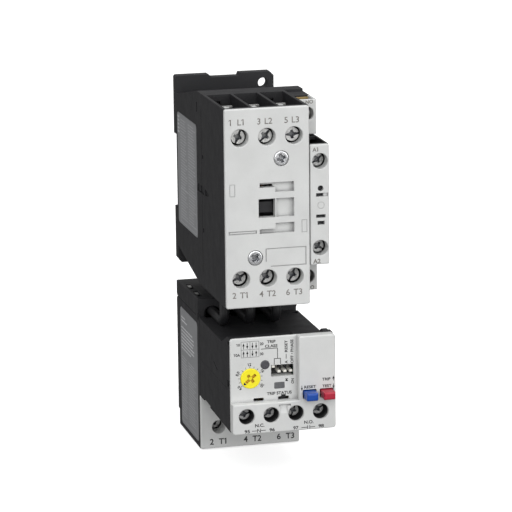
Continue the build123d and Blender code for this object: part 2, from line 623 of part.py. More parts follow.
with BuildPart() as coil_terminals:
    for sign in (1, -1):
        block(19.9, 20.7, 36.0, 87.0, *span(sign, STRIP_NEAR, STRIP_FAR))
        block(15.5, 20.7, 85.8, 87.0, *span(sign, STRIP_NEAR, 24.2))
        peg(COIL_SCREW_X, sign * COIL_SCREW_Z, 1.6, 85, 88, mode=Mode.SUBTRACT)
coil_terminals.part.label = "coil_terminals"
export_step(coil_terminals.part, "parts/coil_terminals.step")

with BuildPart() as coil_terminal_screws:
    for sign in (1, -1):
        cross_screw(COIL_SCREW_X, sign * COIL_SCREW_Z, 2.7, 89.3, 92.0, 1.5, 80.0, 35 * sign, 2.9)
        block(15.5, 21.2, 88.2, 89.3, *span(sign, 14.6, 24.0))
coil_terminal_screws.part.label = "coil_terminal_screws"
export_step(coil_terminal_screws.part, "parts/coil_terminal_screws.step")


# ---------------------------------------------------------------- magnet
RING_INNER = 22.4
RING_OUTER = 27.2

with BuildPart() as fixed_core:
    side_profile(
        (
            (CORE_BACK, CORE_HALF_HEIGHT),
            (POLE_FACE, CORE_HALF_HEIGHT),
            (POLE_FACE, LEG_INNER),
            (YOKE_FRONT, LEG_INNER),
            (YOKE_FRONT, CENTRE_LEG),
            (POLE_FACE - 0.15, CENTRE_LEG),
            (POLE_FACE - 0.15, -CENTRE_LEG),
            (YOKE_FRONT, -CENTRE_LEG),
            (YOKE_FRONT, -LEG_INNER),
            (POLE_FACE, -LEG_INNER),
            (POLE_FACE, -CORE_HALF_HEIGHT),
            (CORE_BACK, -CORE_HALF_HEIGHT),
        ),
        -CORE_HALF_STACK,
        CORE_HALF_STACK,
    )
    for sign in (1, -1):
        slot = span(sign, RING_INNER - 1.25, RING_INNER + 0.05)
        block(-9, 9, POLE_FACE - 2, POLE_FACE + 1, *slot, mode=Mode.SUBTRACT)
fixed_core.part.label = "fixed_core"
export_step(fixed_core.part, "parts/fixed_core.step")

with BuildPart() as core_pad:
    block(-7.5, 7.5, 7.65, CORE_BACK - 0.02, -24, 24)
core_pad.part.label = "core_pad"
export_step(core_pad.part, "parts/core_pad.step")

with BuildPart() as shading_rings:
    for sign in (1, -1):
        ring = span(sign, RING_INNER - 1.2, RING_OUTER)
        hole = span(sign, RING_INNER, RING_OUTER - 1.15)
        block(-9.2, 9.2, POLE_FACE - 1.95, POLE_FACE - 0.5, *ring)
        block(-8.05, 8.05, 20, 40, *hole, mode=Mode.SUBTRACT)
shading_rings.part.label = "shading_rings"
export_step(shading_rings.part, "parts/shading_rings.step")

with BuildPart() as coil_bobbin:
    block(-9.4, 9.4, BOBBIN_BACK, BOBBIN_FRONT, -7.4, 7.4)
    for back, face in ((BOBBIN_BACK, BOBBIN_BACK + 1.4), (BOBBIN_FRONT - 1.4, BOBBIN_FRONT)):
        block(-15.5, 15.5, back, face, -19.2, 19.2)
    for sign in (1, -1):
        block(15.4, 19.85, BOBBIN_FRONT - 2.8, BOBBIN_FRONT, *span(sign, STRIP_NEAR, STRIP_FAR))
    block(-8.25, 8.25, 0, 50, -6.2, 6.2, mode=Mode.SUBTRACT)
coil_bobbin.part.label = "coil_bobbin"
export_step(coil_bobbin.part, "parts/coil_bobbin.step")

with BuildPart() as coil_winding:
    winding_back, winding_front = BOBBIN_BACK + 1.42, BOBBIN_FRONT - 1.42
    rounded_window(-14.6, 14.6, -18.2, 18.2, 4.0, winding_back, winding_front, Mode.ADD)
    block(-9.45, 9.45, 0, 50, -7.45, 7.45, mode=Mode.SUBTRACT)
coil_winding.part.label = "coil_winding"
export_step(coil_winding.part, "parts/coil_winding.step")

with BuildPart() as armature:
    side_profile(
        (
            (ARMATURE_FRONT, CORE_HALF_HEIGHT),
            (ARMATURE_FACE, CORE_HALF_HEIGHT),
            (ARMATURE_FACE, LEG_INNER),
            (ARMATURE_YOKE_BACK, LEG_INNER),
            (ARMATURE_YOKE_BACK, CENTRE_LEG),
            (ARMATURE_FACE, CENTRE_LEG),
            (ARMATURE_FACE, -CENTRE_LEG),
            (ARMATURE_YOKE_BACK, -CENTRE_LEG),
            (ARMATURE_YOKE_BACK, -LEG_INNER),
            (ARMATURE_FACE, -LEG_INNER),
            (ARMATURE_FACE, -CORE_HALF_HEIGHT),
            (ARMATURE_FRONT, -CORE_HALF_HEIGHT),
        ),
        -CORE_HALF_STACK,
        CORE_HALF_STACK,
    )
armature.part.label = "armature"
export_step(armature.part, "parts/armature.step")

SPRING_X = 11.6
with BuildPart() as return_springs:
    for x in (-SPRING_X, SPRING_X):
        coil_spring((x, -BOBBIN_FRONT - 0.32, 0), (0, -1, 0), 10.9, 2.0, 0.3, 7)
return_springs.part.label = "return_springs"
export_step(return_springs.part, "parts/return_springs.step")


# ---------------------------------------------------------------- contact carrier
BAR_HALF = 5.7
CARRIER_ARM_BACK = FUNNEL_BACK + CARRIER_TRAVEL + 0.2
CARRIER_FRONT = 86.0
NOSE_FRONT = 94.2
WINDOW_FRONT = 84.0
AUX_WINDOW_FRONT = 75.0

with BuildPart() as contact_carrier:
    block(-20.9, 12.3, CARRIER_ARM_BACK, CARRIER_FRONT, -BAR_HALF, BAR_HALF)
    block(-13.6, 12.3, CARRIER_PLATE_FRONT, CARRIER_ARM_BACK, -BAR_HALF, BAR_HALF)
    block(-13.6, 13.6, ARMATURE_FRONT, CARRIER_PLATE_FRONT, -27.0, 27.0)
    block(12.0, 19.0, 64.5, 77.0, -BAR_HALF, BAR_HALF)
    block(-7.6, -1.4, CARRIER_FRONT, NOSE_FRONT, -2.5, 2.3)
    fillet(contact_carrier.faces().sort_by(Axis.Y)[0].edges(), 0.3)
    # Cheeks that hold the armature
    for x in (-9.6, 8.1):
        for z in (15.0, -15.0):
            block(x, x + 1.5, 46.6, ARMATURE_FRONT, z - 3.0, z + 3.0)
    # Windows that carry the bridges and their springs
    for pole in POLE_X:
        block(pole - 3.65, pole + 3.65, BRIDGE_BACK, WINDOW_FRONT, -8, 8, mode=Mode.SUBTRACT)
        block(pole - 3.65, pole + 3.65, 62.0, BRIDGE_BACK - 3, -8, 8, mode=Mode.SUBTRACT)
    block(15.4, 18.6, AUX_BRIDGE_BACK, AUX_WINDOW_FRONT, -8, 8, mode=Mode.SUBTRACT)
contact_carrier.part.label = "contact_carrier"
export_step(contact_carrier.part, "parts/contact_carrier.step")

with BuildPart() as main_bridges:
    for pole in POLE_X:
        block(pole - 3.2, pole + 3.2, BRIDGE_BACK, BRIDGE_FRONT, -15.2, 15.2)
        for z in (12.4, -12.4):
            block(pole - 2.6, pole + 2.6, BRIDGE_TIP_FACE, BRIDGE_BACK, z - 2.5, z + 2.5)
main_bridges.part.label = "main_bridges"
export_step(main_bridges.part, "parts/main_bridges.step")

with BuildPart() as aux_bridge:
    block(15.8, 18.2, AUX_BRIDGE_BACK, AUX_BRIDGE_FRONT, -10.6, 10.6)
    for z in (8.8, -8.8):
        block(15.9, 18.1, AUX_TIP_FACE, AUX_BRIDGE_BACK, z - 1.5, z + 1.5)
aux_bridge.part.label = "aux_bridge"
export_step(aux_bridge.part, "parts/aux_bridge.step")

with BuildPart() as contact_springs:
    for pole in POLE_X:
        start = (pole, -BRIDGE_FRONT - 0.3, 0)
        coil_spring(start, (0, -1, 0), WINDOW_FRONT - BRIDGE_FRONT - 0.6, 2.2, 0.28, 5)
    start = (AUX_CONTACT_X, -AUX_BRIDGE_FRONT - 0.22, 0)
    coil_spring(start, (0, -1, 0), AUX_WINDOW_FRONT - AUX_BRIDGE_FRONT - 0.44, 1.1, 0.18, 5)
contact_springs.part.label = "contact_springs"
export_step(contact_springs.part, "parts/contact_springs.step")


# ---------------------------------------------------------------- relay base
BASE_SKIN = 1.8
ARCH_RADIUS = 3.75
ARCH_CENTRE_Z = -58.0
CATCH_SLOTS = ((12.0, 21.5), (26.0, 37.4))

with BuildPart() as relay_base:
    side_profile(
        (
            (0, -51.5),
            (BLOCK_FRONT, RELAY_TOP),
            (BLOCK_FRONT, SHELF_Z),
            (BASE_FRONT, SHELF_Z),
            (BASE_FRONT, RELAY_BOTTOM),
            (2.2, RELAY_BOTTOM),
            (2.2, -111.5),
            (0, -111.5),
        ),
        -HALF_WIDTH,
        HALF_WIDTH,
    )
    top_rim = relay_base.faces().sort_by(Axis.Z)[-1].edges()
    fillet(top_rim, 0.6)
    # Main cavity, open at the front, and the terminal block's cavity above it
    inside = HALF_WIDTH - BASE_SKIN
    block(-inside, inside, 3.9, BASE_FRONT + 1, RELAY_BOTTOM + 2.0, -60.2, mode=Mode.SUBTRACT)
    block(-18.25, inside, 3.9, BLOCK_FRONT - 2.2, -60.3, -52.9, mode=Mode.SUBTRACT)
    for back, face in CATCH_SLOTS:
        block(-21.0, -18.8, back, face, -60.3, RELAY_TOP + 1, mode=Mode.SUBTRACT)
    # Arches through which the three conductors come out
    for pole in POLE_X:
        peg(pole, ARCH_CENTRE_Z, ARCH_RADIUS, BLOCK_FRONT - 3, BASE_FRONT + 1, mode=Mode.SUBTRACT)
    # Openings for the outgoing cables, and the rebate for the terminal plate
    for x in OUTPUT_X:
        block(x - 3.6, x + 3.6, 19.2, 29.0, RELAY_BOTTOM - 1, RELAY_BOTTOM + 3, mode=Mode.SUBTRACT)
    block(-30, 30, 43.5, BASE_FRONT + 1, RELAY_BOTTOM - 1, -94.0, mode=Mode.SUBTRACT)
    # Seam, catches and label recess on the sides
    for x in (-HALF_WIDTH, HALF_WIDTH):
        block(x - 0.3, x + 0.3, -1, 39.0, -58.9, -58.5, mode=Mode.SUBTRACT)
        block(x - 0.8, x + 0.8, -1, 0.8, -59.6, -58.0, mode=Mode.SUBTRACT)
        block(x - 0.7, x + 0.7, 41.2, 43.6, -60.4, -57.2, mode=Mode.SUBTRACT)
        block(x - 0.6, x + 0.6, 42.6, BASE_FRONT + 1, -101.4, -94.0, mode=Mode.SUBTRACT)
    with BuildSketch(Plane.YZ.offset(-HALF_WIDTH)):
        with Locations((-23.4, -89.4)):
            RectangleRounded(34.2, 54.8, 2.0)
    extrude(amount=0.2, mode=Mode.SUBTRACT)
relay_base.part.label = "relay_base"
export_step(relay_base.part, "parts/relay_base.step")

with BuildPart() as relay_label:
    with BuildSketch(Plane.YZ.offset(-HALF_WIDTH + 0.2)):
        with Locations((-23.4, -89.4)):
            RectangleRounded(33.8, 54.4, 1.8)
    extrude(amount=-0.16)
relay_label.part.label = "relay_label"
export_step(relay_label.part, "parts/relay_label.step")

with BuildPart() as catch_springs:
    for back, face in CATCH_SLOTS:
        block(-20.7, -19.1, back + 1.4, back + 2.0, -60.2, -51.9)
        block(-20.7, -19.1, back + 1.4, min(back + 4.6, face - 0.5), -51.9, -51.4)
catch_springs.part.label = "catch_springs"
export_step(catch_springs.part, "parts/catch_springs.step")

with BuildPart() as relay_terminal_plate:
    with BuildSketch(front(43.55)):
        with Locations((0, (RELAY_BOTTOM - 94.1) / 2)):
            RectangleRounded(2 * HALF_WIDTH, -94.1 - RELAY_BOTTOM, 0.5)
    extrude(amount=BASE_FRONT - 43.55)
    fillet(relay_terminal_plate.faces().sort_by(Axis.Y)[0].edges(), 0.4)
    for x in OUTPUT_X:
        tube(x, OUTPUT_Z, OUTPUT_HOLE_RADIUS + 0.9, OUTPUT_HOLE_RADIUS, 37.0, 43.6)
        peg(x, OUTPUT_Z, OUTPUT_HOLE_RADIUS, 42, 46, mode=Mode.SUBTRACT)
relay_terminal_plate.part.label = "relay_terminal_plate"
export_step(relay_terminal_plate.part, "parts/relay_terminal_plate.step")

OUTPUT_CAGE_BACK = 17.6
OUTPUT_CAGE_FRONT = 29.6
OUTPUT_BAR_BACK = 22.4
OUTPUT_BAR_FRONT = 23.9
OUTPUT_HEAD_FRONT = 35.6

with BuildPart() as output_clamps:
    for x in OUTPUT_X:
        back = OUTPUT_CAGE_BACK + 1.3
        face = OUTPUT_CAGE_FRONT - 1.6
        block(x - 4.0, x + 4.0, OUTPUT_CAGE_BACK, OUTPUT_CAGE_FRONT, -113.4, -104.6)
        block(x - 3.1, x + 3.1, back, face, -115, -103, mode=Mode.SUBTRACT)
        peg(x, OUTPUT_Z, 1.85, face - 1, OUTPUT_CAGE_FRONT + 1, mode=Mode.SUBTRACT)
output_clamps.part.label = "output_clamps"
export_step(output_clamps.part, "parts/output_clamps.step")

with BuildPart() as output_screws:
    for x, turn in zip(OUTPUT_X, (20, -35, 5)):
        back = OUTPUT_HEAD_FRONT - 3.0
        cross_screw(x, OUTPUT_Z, 2.9, back, OUTPUT_HEAD_FRONT, 1.75, OUTPUT_BAR_FRONT + 0.05, turn, 3.0)
output_screws.part.label = "output_screws"
export_step(output_screws.part, "parts/output_screws.step")

ROD_TOP = -26.4
ROD_END = -93.4


def rod_path(x, top, bottom, back):
    """Upright in the contactor, back through the arch, then down inside the base."""
    corners = [
        (x, -ROD_DEPTH, top),
        (x, -ROD_DEPTH, ROD_Z),
        (x, -back, ROD_Z),
        (x, -back, bottom),
    ]
    return FilletPolyline(*corners, radius=ROD_BEND)


with BuildPart() as phase_conductors:
    for pole, output in zip(POLE_X, OUTPUT_X):
        with BuildLine() as path:
            rod_path(pole, ROD_TOP, ROD_END, ROD_DROP_DEPTH)
        with BuildSketch(Plane(path.line @ 0, z_dir=path.line % 0)) as section:
            Circle(ROD_CORE_RADIUS)
        sweep(section.sketch, path=path.line)
        left = min(pole - ROD_CORE_RADIUS, output - 2.6)
        right = max(pole + ROD_CORE_RADIUS, output + 2.6)
        block(left, right, 18.4, OUTPUT_BAR_FRONT, -96.0, -93.0)
        block(output - 2.6, output + 2.6, OUTPUT_BAR_BACK, OUTPUT_BAR_FRONT, -113.0, -95.5)
phase_conductors.part.label = "phase_conductors"
export_step(phase_conductors.part, "parts/phase_conductors.step")

SLEEVE_TOP = -38.6
SLEEVE_END = -90.0
with BuildPart() as conductor_sleeves:
    for pole in POLE_X:
        with BuildLine() as path:
            rod_path(pole, SLEEVE_TOP, SLEEVE_END, ROD_DROP_DEPTH)
        with BuildSketch(Plane(path.line @ 0, z_dir=path.line % 0)) as section:
            Circle(ROD_RADIUS)
            Circle(ROD_CORE_RADIUS + 0.02, mode=Mode.SUBTRACT)
        sweep(section.sketch, path=path.line)
conductor_sleeves.part.label = "conductor_sleeves"
export_step(conductor_sleeves.part, "parts/conductor_sleeves.step")

with BuildPart() as current_transformers:
    for pole in POLE_X:
        with BuildSketch(Plane.XY.offset(-82.0)) as ring:
            with Locations((pole, -ROD_DROP_DEPTH)):
                Circle(4.65)
                Circle(2.4, mode=Mode.SUBTRACT)
        extrude(ring.sketch, amount=14.0)
    fillet(current_transformers.edges().filter_by(GeomType.CIRCLE), 1.0)
current_transformers.part.label = "current_transformers"
export_step(current_transformers.part, "parts/current_transformers.step")


# ---------------------------------------------------------------- relay electronics housing
COVER_SKIN = 1.4
SLEEVE_FRONT = RELAY_FRONT - COVER_SKIN - 0.05
SHELL_SKIN = 1.4
SHELL_INSIDE = HALF_WIDTH - SHELL_SKIN
COLLAR_TOP = -54.4
CHAMBER_WALL_BACK = 97.2
CHAMBER_WALL_FRONT = 98.2
CHAMBER_WALL_TOP = -84.2
SLEEVE_RADIUS = 3.95

with BuildPart() as electronics_top_shell:
    side_profile(
        (
            (BASE_FRONT, SHELF_Z),
            (86.9, SHELF_Z),
            (96.3, COLLAR_TOP),
            (SHELL_FRONT, COLLAR_TOP),
            (SHELL_FRONT, SHELL_SEAM_Z),
            (BASE_FRONT, SHELL_SEAM_Z),
        ),
        -HALF_WIDTH,
        HALF_WIDTH,
    )
    fillet(electronics_top_shell.edges().filter_by(Axis.Z).group_by(Axis.Y)[-1], 0.5)
    block(-SHELL_INSIDE, SHELL_INSIDE, BASE_FRONT + 1.4, 110, -78, SHELF_Z - 1.5, mode=Mode.SUBTRACT)
    # Moulded pocket and snap windows on both sides, rear notch on the right of the top
    pocket = ((70.6, -71.4), (72.2, -71.4), (78.6, -73.3), (77.4, -74.0))
    for x in (-HALF_WIDTH, HALF_WIDTH):
        side_profile(pocket, x - 0.7, x + 0.7, Mode.SUBTRACT)
        block(x - 0.9, x + 0.9, 96.4, 99.2, -76.0, -73.0, mode=Mode.SUBTRACT)
        block(x - 0.9, x + 0.9, 97.8, 102, -57.9, -55.8, mode=Mode.SUBTRACT)
    block(18.9, 21.6, 44, 49.0, SHELF_Z - 0.8, SHELF_Z + 1, mode=Mode.SUBTRACT)
    block(5.0, 7.6, 97.5, SHELL_FRONT, COLLAR_TOP - 1, COLLAR_TOP + 0.5)
    block(17.9, 21.3, 97.5, SHELL_FRONT, COLLAR_TOP - 1, COLLAR_TOP + 0.95)
    hump = electronics_top_shell.edges().filter_by(Axis.Y).group_by(Axis.Z)[-1]
    fillet(hump, 0.8)
electronics_top_shell.part.label = "electronics_top_shell"
export_step(electronics_top_shell.part, "parts/electronics_top_shell.step")

with BuildPart() as electronics_bottom_shell:
    side_profile(
        (
            (BASE_FRONT, SHELL_SEAM_Z - 0.15),
            (SHELL_FRONT, SHELL_SEAM_Z - 0.15),
            (SHELL_FRONT, SHELL_BOTTOM - 0.3),
            (BASE_FRONT, SHELL_BOTTOM + 0.6),
        ),
        -HALF_WIDTH,
        HALF_WIDTH,
    )
    fillet(electronics_bottom_shell.edges().filter_by(Axis.Z).group_by(Axis.Y)[-1], 0.5)
    inside_floor = SHELL_BOTTOM + 2.0
    block(-SHELL_INSIDE, SHELL_INSIDE, BASE_FRONT + 1.4, 110, inside_floor, -76, mode=Mode.SUBTRACT)
    # Front wall of the terminal chambers, with a sleeve round each screwdriver well
    inset = SHELL_INSIDE + 0.1
    block(-inset, inset, CHAMBER_WALL_BACK, CHAMBER_WALL_FRONT, inside_floor - 0.1, CHAMBER_WALL_TOP)
    for x in SIGNAL_X:
        peg(x, SIGNAL_Z, SLEEVE_RADIUS, CHAMBER_WALL_BACK, SLEEVE_FRONT)
        peg(x, SIGNAL_Z, SIGNAL_HOLE_RADIUS, CHAMBER_WALL_BACK - 1, SLEEVE_FRONT + 1, mode=Mode.SUBTRACT)
    # Cable openings under the four signalling terminals, and a catch slot on each side
    for x in SIGNAL_X:
        block(x - 3.0, x + 3.0, 86.0, 95.0, -97, -91, mode=Mode.SUBTRACT)
    for x in (-HALF_WIDTH, HALF_WIDTH):
        block(x - 0.7, x + 0.7, 52.0, 64.0, -97, -93.4, mode=Mode.SUBTRACT)
electronics_bottom_shell.part.label = "electronics_bottom_shell"
export_step(electronics_bottom_shell.part, "parts/electronics_bottom_shell.step")


# ---------------------------------------------------------------- relay front cover
DIP_HALF_WINDOW = 4.9
DIP_WINDOW_TOP = -66.7
DIP_WINDOW_BOTTOM = -71.75
NOTCH_TOP = -83.15

with BuildPart() as relay_front_cover:
    with BuildSketch(front(SHELL_FRONT + 0.02)):
        with Locations((0, (RELAY_COVER_TOP + RELAY_COVER_BOTTOM) / 2)):
            RectangleRounded(2 * HALF_WIDTH, RELAY_COVER_TOP - RELAY_COVER_BOTTOM, 1.2)
    extrude(amount=RELAY_FRONT - SHELL_FRONT - 0.02)
    # Recessed dial panel
    block(-30, PANEL_RIGHT, PANEL_FRONT, 110, PANEL_BOTTOM, -50, mode=Mode.SUBTRACT)
    step_edges = relay_front_cover.edges().group_by(Axis.Y)[0]
    fillet(step_edges, 0.6)
    panel_edges = relay_front_cover.edges().filter_by(lambda edge: abs(edge.center().Y + PANEL_FRONT) < 0.01)
    fillet(panel_edges.filter_by(lambda edge: edge.center().X < -22 or edge.center().Z > -55), 0.5)
    # Hollow back under the raised parts
    hollow_front = RELAY_FRONT - COVER_SKIN
    inside = HALF_WIDTH - COVER_SKIN
    hollow_top = RELAY_COVER_TOP - 1.5
    block(PANEL_RIGHT + 1.4, inside, 100, hollow_front, -94.0, hollow_top, mode=Mode.SUBTRACT)
    hollow_top = PANEL_BOTTOM - 1.4
    block(-inside, PANEL_RIGHT + 2, 100, hollow_front, -94.0, hollow_top, mode=Mode.SUBTRACT)
    # Screwdriver wells
    for x in SIGNAL_X:
        peg(x, SIGNAL_Z, SIGNAL_HOLE_RADIUS, 100, 107, mode=Mode.SUBTRACT)
    rims = relay_front_cover.edges().filter_by(GeomType.CIRCLE).group_by(Axis.Y)[0]
    chamfer(rims.filter_by(lambda edge: abs(edge.radius - SIGNAL_HOLE_RADIUS) < 0.01), 0.2)
    # Openings in the dial panel
    peg(DIAL_X, DIAL_Z, DIAL_RADIUS + 0.06, 100, 104, mode=Mode.SUBTRACT)
    peg(LENS_X, LENS_Z, LENS_RADIUS + 0.05, 100, 104, mode=Mode.SUBTRACT)
    dip_left, dip_right = DIP_X - DIP_HALF_WINDOW, DIP_X + DIP_HALF_WINDOW
    block(dip_left, dip_right, 100, 104, DIP_WINDOW_BOTTOM, DIP_WINDOW_TOP, mode=Mode.SUBTRACT)
    block(dip_left, dip_right, DIP_BODY_FRONT + 0.1, 101.1, DIP_WINDOW_BOTTOM - 1, DIP_WINDOW_BOTTOM)
    rounded_window(-3.5, 1.1, -77.2, -74.3, 0.5, 100, 104)
    rounded_window(-12.6, -8.1, -82.0, -80.6, 0.55, 100, 104)
    rounded_window(-1.9, 2.9, -82.0, -80.5, 0.55, 100, 104)
    block(-0.5, 1.5, 100, 104, -81, -79.8, mode=Mode.SUBTRACT)
    # Lever windows and the shelves under the levers' springs
    for x in (RESET_X, TEST_X):
        rounded_window(x - 2.9, x + 3.2, LEVER_WINDOW_BOTTOM, LEVER_WINDOW_TOP, 0.5, 100, 107)
    block(9.6, 12.4, 96.2, hollow_front + 0.1, -84.0, -83.1)
    block(18.45, 20.8, 96.2, hollow_front + 0.1, -84.0, -83.1)
    # Notch between the two pairs of signalling terminals, deepest at its wide top
    for left, right, low in ((-2.4, 2.75, NOTCH_TOP - 1.5), (-1.75, 1.2, NOTCH_TOP - 4.3)):
        ramp = (
            (RELAY_FRONT + 0.3, NOTCH_TOP),
            (RELAY_FRONT - 0.9, NOTCH_TOP),
            (RELAY_FRONT - 0.9, NOTCH_TOP - 0.4),
            (RELAY_FRONT + 0.1, low),
            (RELAY_FRONT + 0.3, low),
        )
        side_profile(ramp, left, right, Mode.SUBTRACT)
relay_front_cover.part.label = "relay_front_cover"
export_step(relay_front_cover.part, "parts/relay_front_cover.step")


# ---------------------------------------------------------------- relay controls and electronics
BOARD_BACK = 90.0
BOARD_FRONT = 91.6

with BuildPart() as circuit_board:
    block(-20.6, 20.6, BOARD_BACK, BOARD_FRONT, -77.5, -60.6)
    # Controller, driver, supply capacitor block and a small regulator on the back
    for left, right, low, high, thickness in (
        (-16.5, -7.5, -73.5, -64.5, 1.6),
        (-1.5, 5.5, -70.5, -65.5, 1.4),
        (8.5, 16.5, -74.5, -67.5, 4.5),
        (-3.0, 1.0, -75.8, -73.4, 1.2),
    ):
        block(left, right, BOARD_BACK - thickness, BOARD_BACK + 0.1, low, high)
circuit_board.part.label = "circuit_board"
export_step(circuit_board.part, "parts/circuit_board.step")

with BuildPart() as potentiometer:
    left, right = DIAL_X - 4.6, DIAL_X + 4.6
    rounded_window(left, right, DIAL_Z - 4.6, DIAL_Z + 4.6, 0.8, BOARD_FRONT, 97.5, Mode.ADD)
    peg(DIAL_X, DIAL_Z, 2.05, 94.5, 98, mode=Mode.SUBTRACT)
potentiometer.part.label = "potentiometer"
export_step(potentiometer.part, "parts/potentiometer.step")

with BuildPart() as current_dial:
    peg(DIAL_X, DIAL_Z, DIAL_RADIUS, 100.4, 102.5)
    fillet(current_dial.edges().filter_by(GeomType.CIRCLE).sort_by(Axis.Y)[0], 0.35)
    peg(DIAL_X, DIAL_Z, 2.0, 94.6, 100.4)
    with BuildSketch(front(102.5)):
        with Locations(Location((DIAL_X, DIAL_Z, 0), (0, 0, 38))):
            RectangleRounded(5.4, 1.3, 0.3)
            RectangleRounded(1.3, 4.2, 0.3)
    extrude(amount=-1.1, mode=Mode.SUBTRACT)
    # Raised grip rib beside the pointer
    with BuildSketch(front(101.4)):
        with Locations(Location((DIAL_X, DIAL_Z, 0), (0, 0, 38))):
            Circle(0.85)
    extrude(amount=0.5)
current_dial.part.label = "current_dial"
export_step(current_dial.part, "parts/current_dial.step")

with BuildPart() as status_lens:
    peg(LENS_X, LENS_Z, LENS_RADIUS, 99.6, 102.2)
    fillet(status_lens.edges().filter_by(GeomType.CIRCLE).sort_by(Axis.Y)[0], 0.3)
    peg(LENS_X, LENS_Z, 1.2, BOARD_FRONT, 99.6)
status_lens.part.label = "status_lens"
export_step(status_lens.part, "parts/status_lens.step")

with BuildPart() as status_window:
    rounded_window(-3.42, 1.02, -77.12, -74.38, 0.45, 100.6, 101.7, Mode.ADD)
    rounded_window(-4.0, 1.6, -77.8, -73.8, 0.6, 100.0, 100.6, Mode.ADD)
status_window.part.label = "status_window"
export_step(status_window.part, "parts/status_window.step")

DIP_CENTRES = [DIP_X + DIP_PITCH * (index - 1.5) for index in range(4)]

with BuildPart() as dip_switch_body:
    block(DIP_X - 5.2, DIP_X + 5.2, BOARD_FRONT, DIP_BODY_FRONT, -73.0, -65.2)
    for x in DIP_CENTRES:
        for half, reach, back, face in (
            (0.72, DIP_FINGER_HALF, 94.9, DIP_BODY_FRONT + 1),
            (1.05, DIP_FOOT_HALF, 93.0, 95.0),
        ):
            low, high = DIP_DOWN_Z - reach - 0.06, DIP_UP_Z + reach + 0.06
            block(x - half, x + half, back, face, low, high, mode=Mode.SUBTRACT)
dip_switch_body.part.label = "dip_switch_body"
export_step(dip_switch_body.part, "parts/dip_switch_body.step")


def dip_slider(x, z):
    """One switch slider: a long finger on a foot that the switch body keeps in."""
    with BuildPart() as slider:
        block(x - 0.66, x + 0.66, 94.0, 101.6, z - DIP_FINGER_HALF, z + DIP_FINGER_HALF)
        chamfer(slider.faces().sort_by(Axis.Y)[0].edges(), 0.15)
        block(x - 0.95, x + 0.95, 93.1, 94.8, z - DIP_FOOT_HALF, z + DIP_FOOT_HALF)
    return slider


DIP_REST_Z = (DIP_UP_Z, DIP_DOWN_Z, DIP_DOWN_Z, DIP_DOWN_Z)
for number, (x, z) in enumerate(zip(DIP_CENTRES, DIP_REST_Z), start=1):
    slider = dip_slider(x, z)
    slider.part.label = f"dip_slider_{number}"
    export_step(slider.part, f"parts/dip_slider_{number}.step")

LEVER_HALF_WIDTH = 2.5
LEVER_BACK = 96.4
TIP_FRONT = 111.6
LEVER_TOP = -78.05
STEM_BOTTOM = -79.8
TIP_BOTTOM = -81.2


def lever(x):
    """Flat lever: a thin stem through the cover's window and a deeper finger tip."""
    with BuildPart() as handle:
        side_profile(
            (
                (LEVER_BACK, LEVER_TOP),
                (TIP_FRONT, LEVER_TOP + 0.15),
                (TIP_FRONT, TIP_BOTTOM),
                (RELAY_FRONT + 0.9, TIP_BOTTOM),
                (RELAY_FRONT + 0.5, STEM_BOTTOM),
                (LEVER_BACK, STEM_BOTTOM),
            ),
            x - LEVER_HALF_WIDTH,
            x + LEVER_HALF_WIDTH,
        )
        fillet(handle.faces().sort_by(Axis.Y)[0].edges(), 0.75)
        fillet(handle.edges().filter_by(Axis.Y).group_by(Axis.Z)[0], 0.4)
    return handle


reset_lever = lever(RESET_X)
reset_lever.part.label = "reset_lever"
export_step(reset_lever.part, "parts/reset_lever.step")

test_lever = lever(TEST_X)
test_lever.part.label = "test_lever"
export_step(test_lever.part, "parts/test_lever.step")

with BuildPart() as reset_spring:
    coil_spring((11.0, -98.0, -82.92), (0, 0, 1), 2.92, 1.15, 0.17, 3)
reset_spring.part.label = "reset_spring"
export_step(reset_spring.part, "parts/reset_spring.step")

with BuildPart() as test_spring:
    coil_spring((19.6, -98.0, -82.95), (0, 0, 1), 2.98, 0.95, 0.14, 3)
test_spring.part.label = "test_spring"
export_step(test_spring.part, "parts/test_spring.step")


# ---------------------------------------------------------------- relay trip mechanism and contacts
with BuildPart() as signal_clamps:
    for x in SIGNAL_X:
        block(x - 3.3, x + 3.3, 84.0, 95.6, -91.0, -84.6)
        block(x - 2.5, x + 2.5, 85.2, 94.4, -92, -84, mode=Mode.SUBTRACT)
        peg(x, SIGNAL_Z, 1.55, 93, 97, mode=Mode.SUBTRACT)
signal_clamps.part.label = "signal_clamps"
export_step(signal_clamps.part, "parts/signal_clamps.step")

with BuildPart() as signal_screws:
    for x, turn in zip(SIGNAL_X, (10, 40, 70, 25)):
        cross_screw(x, SIGNAL_Z, 2.35, 98.1, 100.5, 1.45, 91.1, turn, 2.5)
signal_screws.part.label = "signal_screws"
export_step(signal_screws.part, "parts/signal_screws.step")

STRIP_TOP = -82.2
STRIP_BOTTOM = -83.0
SIGNAL_BRIDGE_BACK = 74.0
SIGNAL_BRIDGE_FRONT = 77.0

with BuildPart() as signal_contacts:
    for index, x in enumerate(SIGNAL_X):
        block(x - 2.0, x + 2.0, 90.0, 91.0, -90.5, STRIP_TOP)
        block(x - 2.0, x + 2.0, 73.0, 91.0, STRIP_BOTTOM, STRIP_TOP)
        if index < 2:
            block(x - 1.4, x + 1.4, 74.1, 76.9, STRIP_TOP, STRIP_TOP + 0.5)
        else:
            block(x - 1.4, x + 1.4, 74.1, 76.9, STRIP_BOTTOM - 0.5, STRIP_BOTTOM)
signal_contacts.part.label = "signal_contacts"
export_step(signal_contacts.part, "parts/signal_contacts.step")

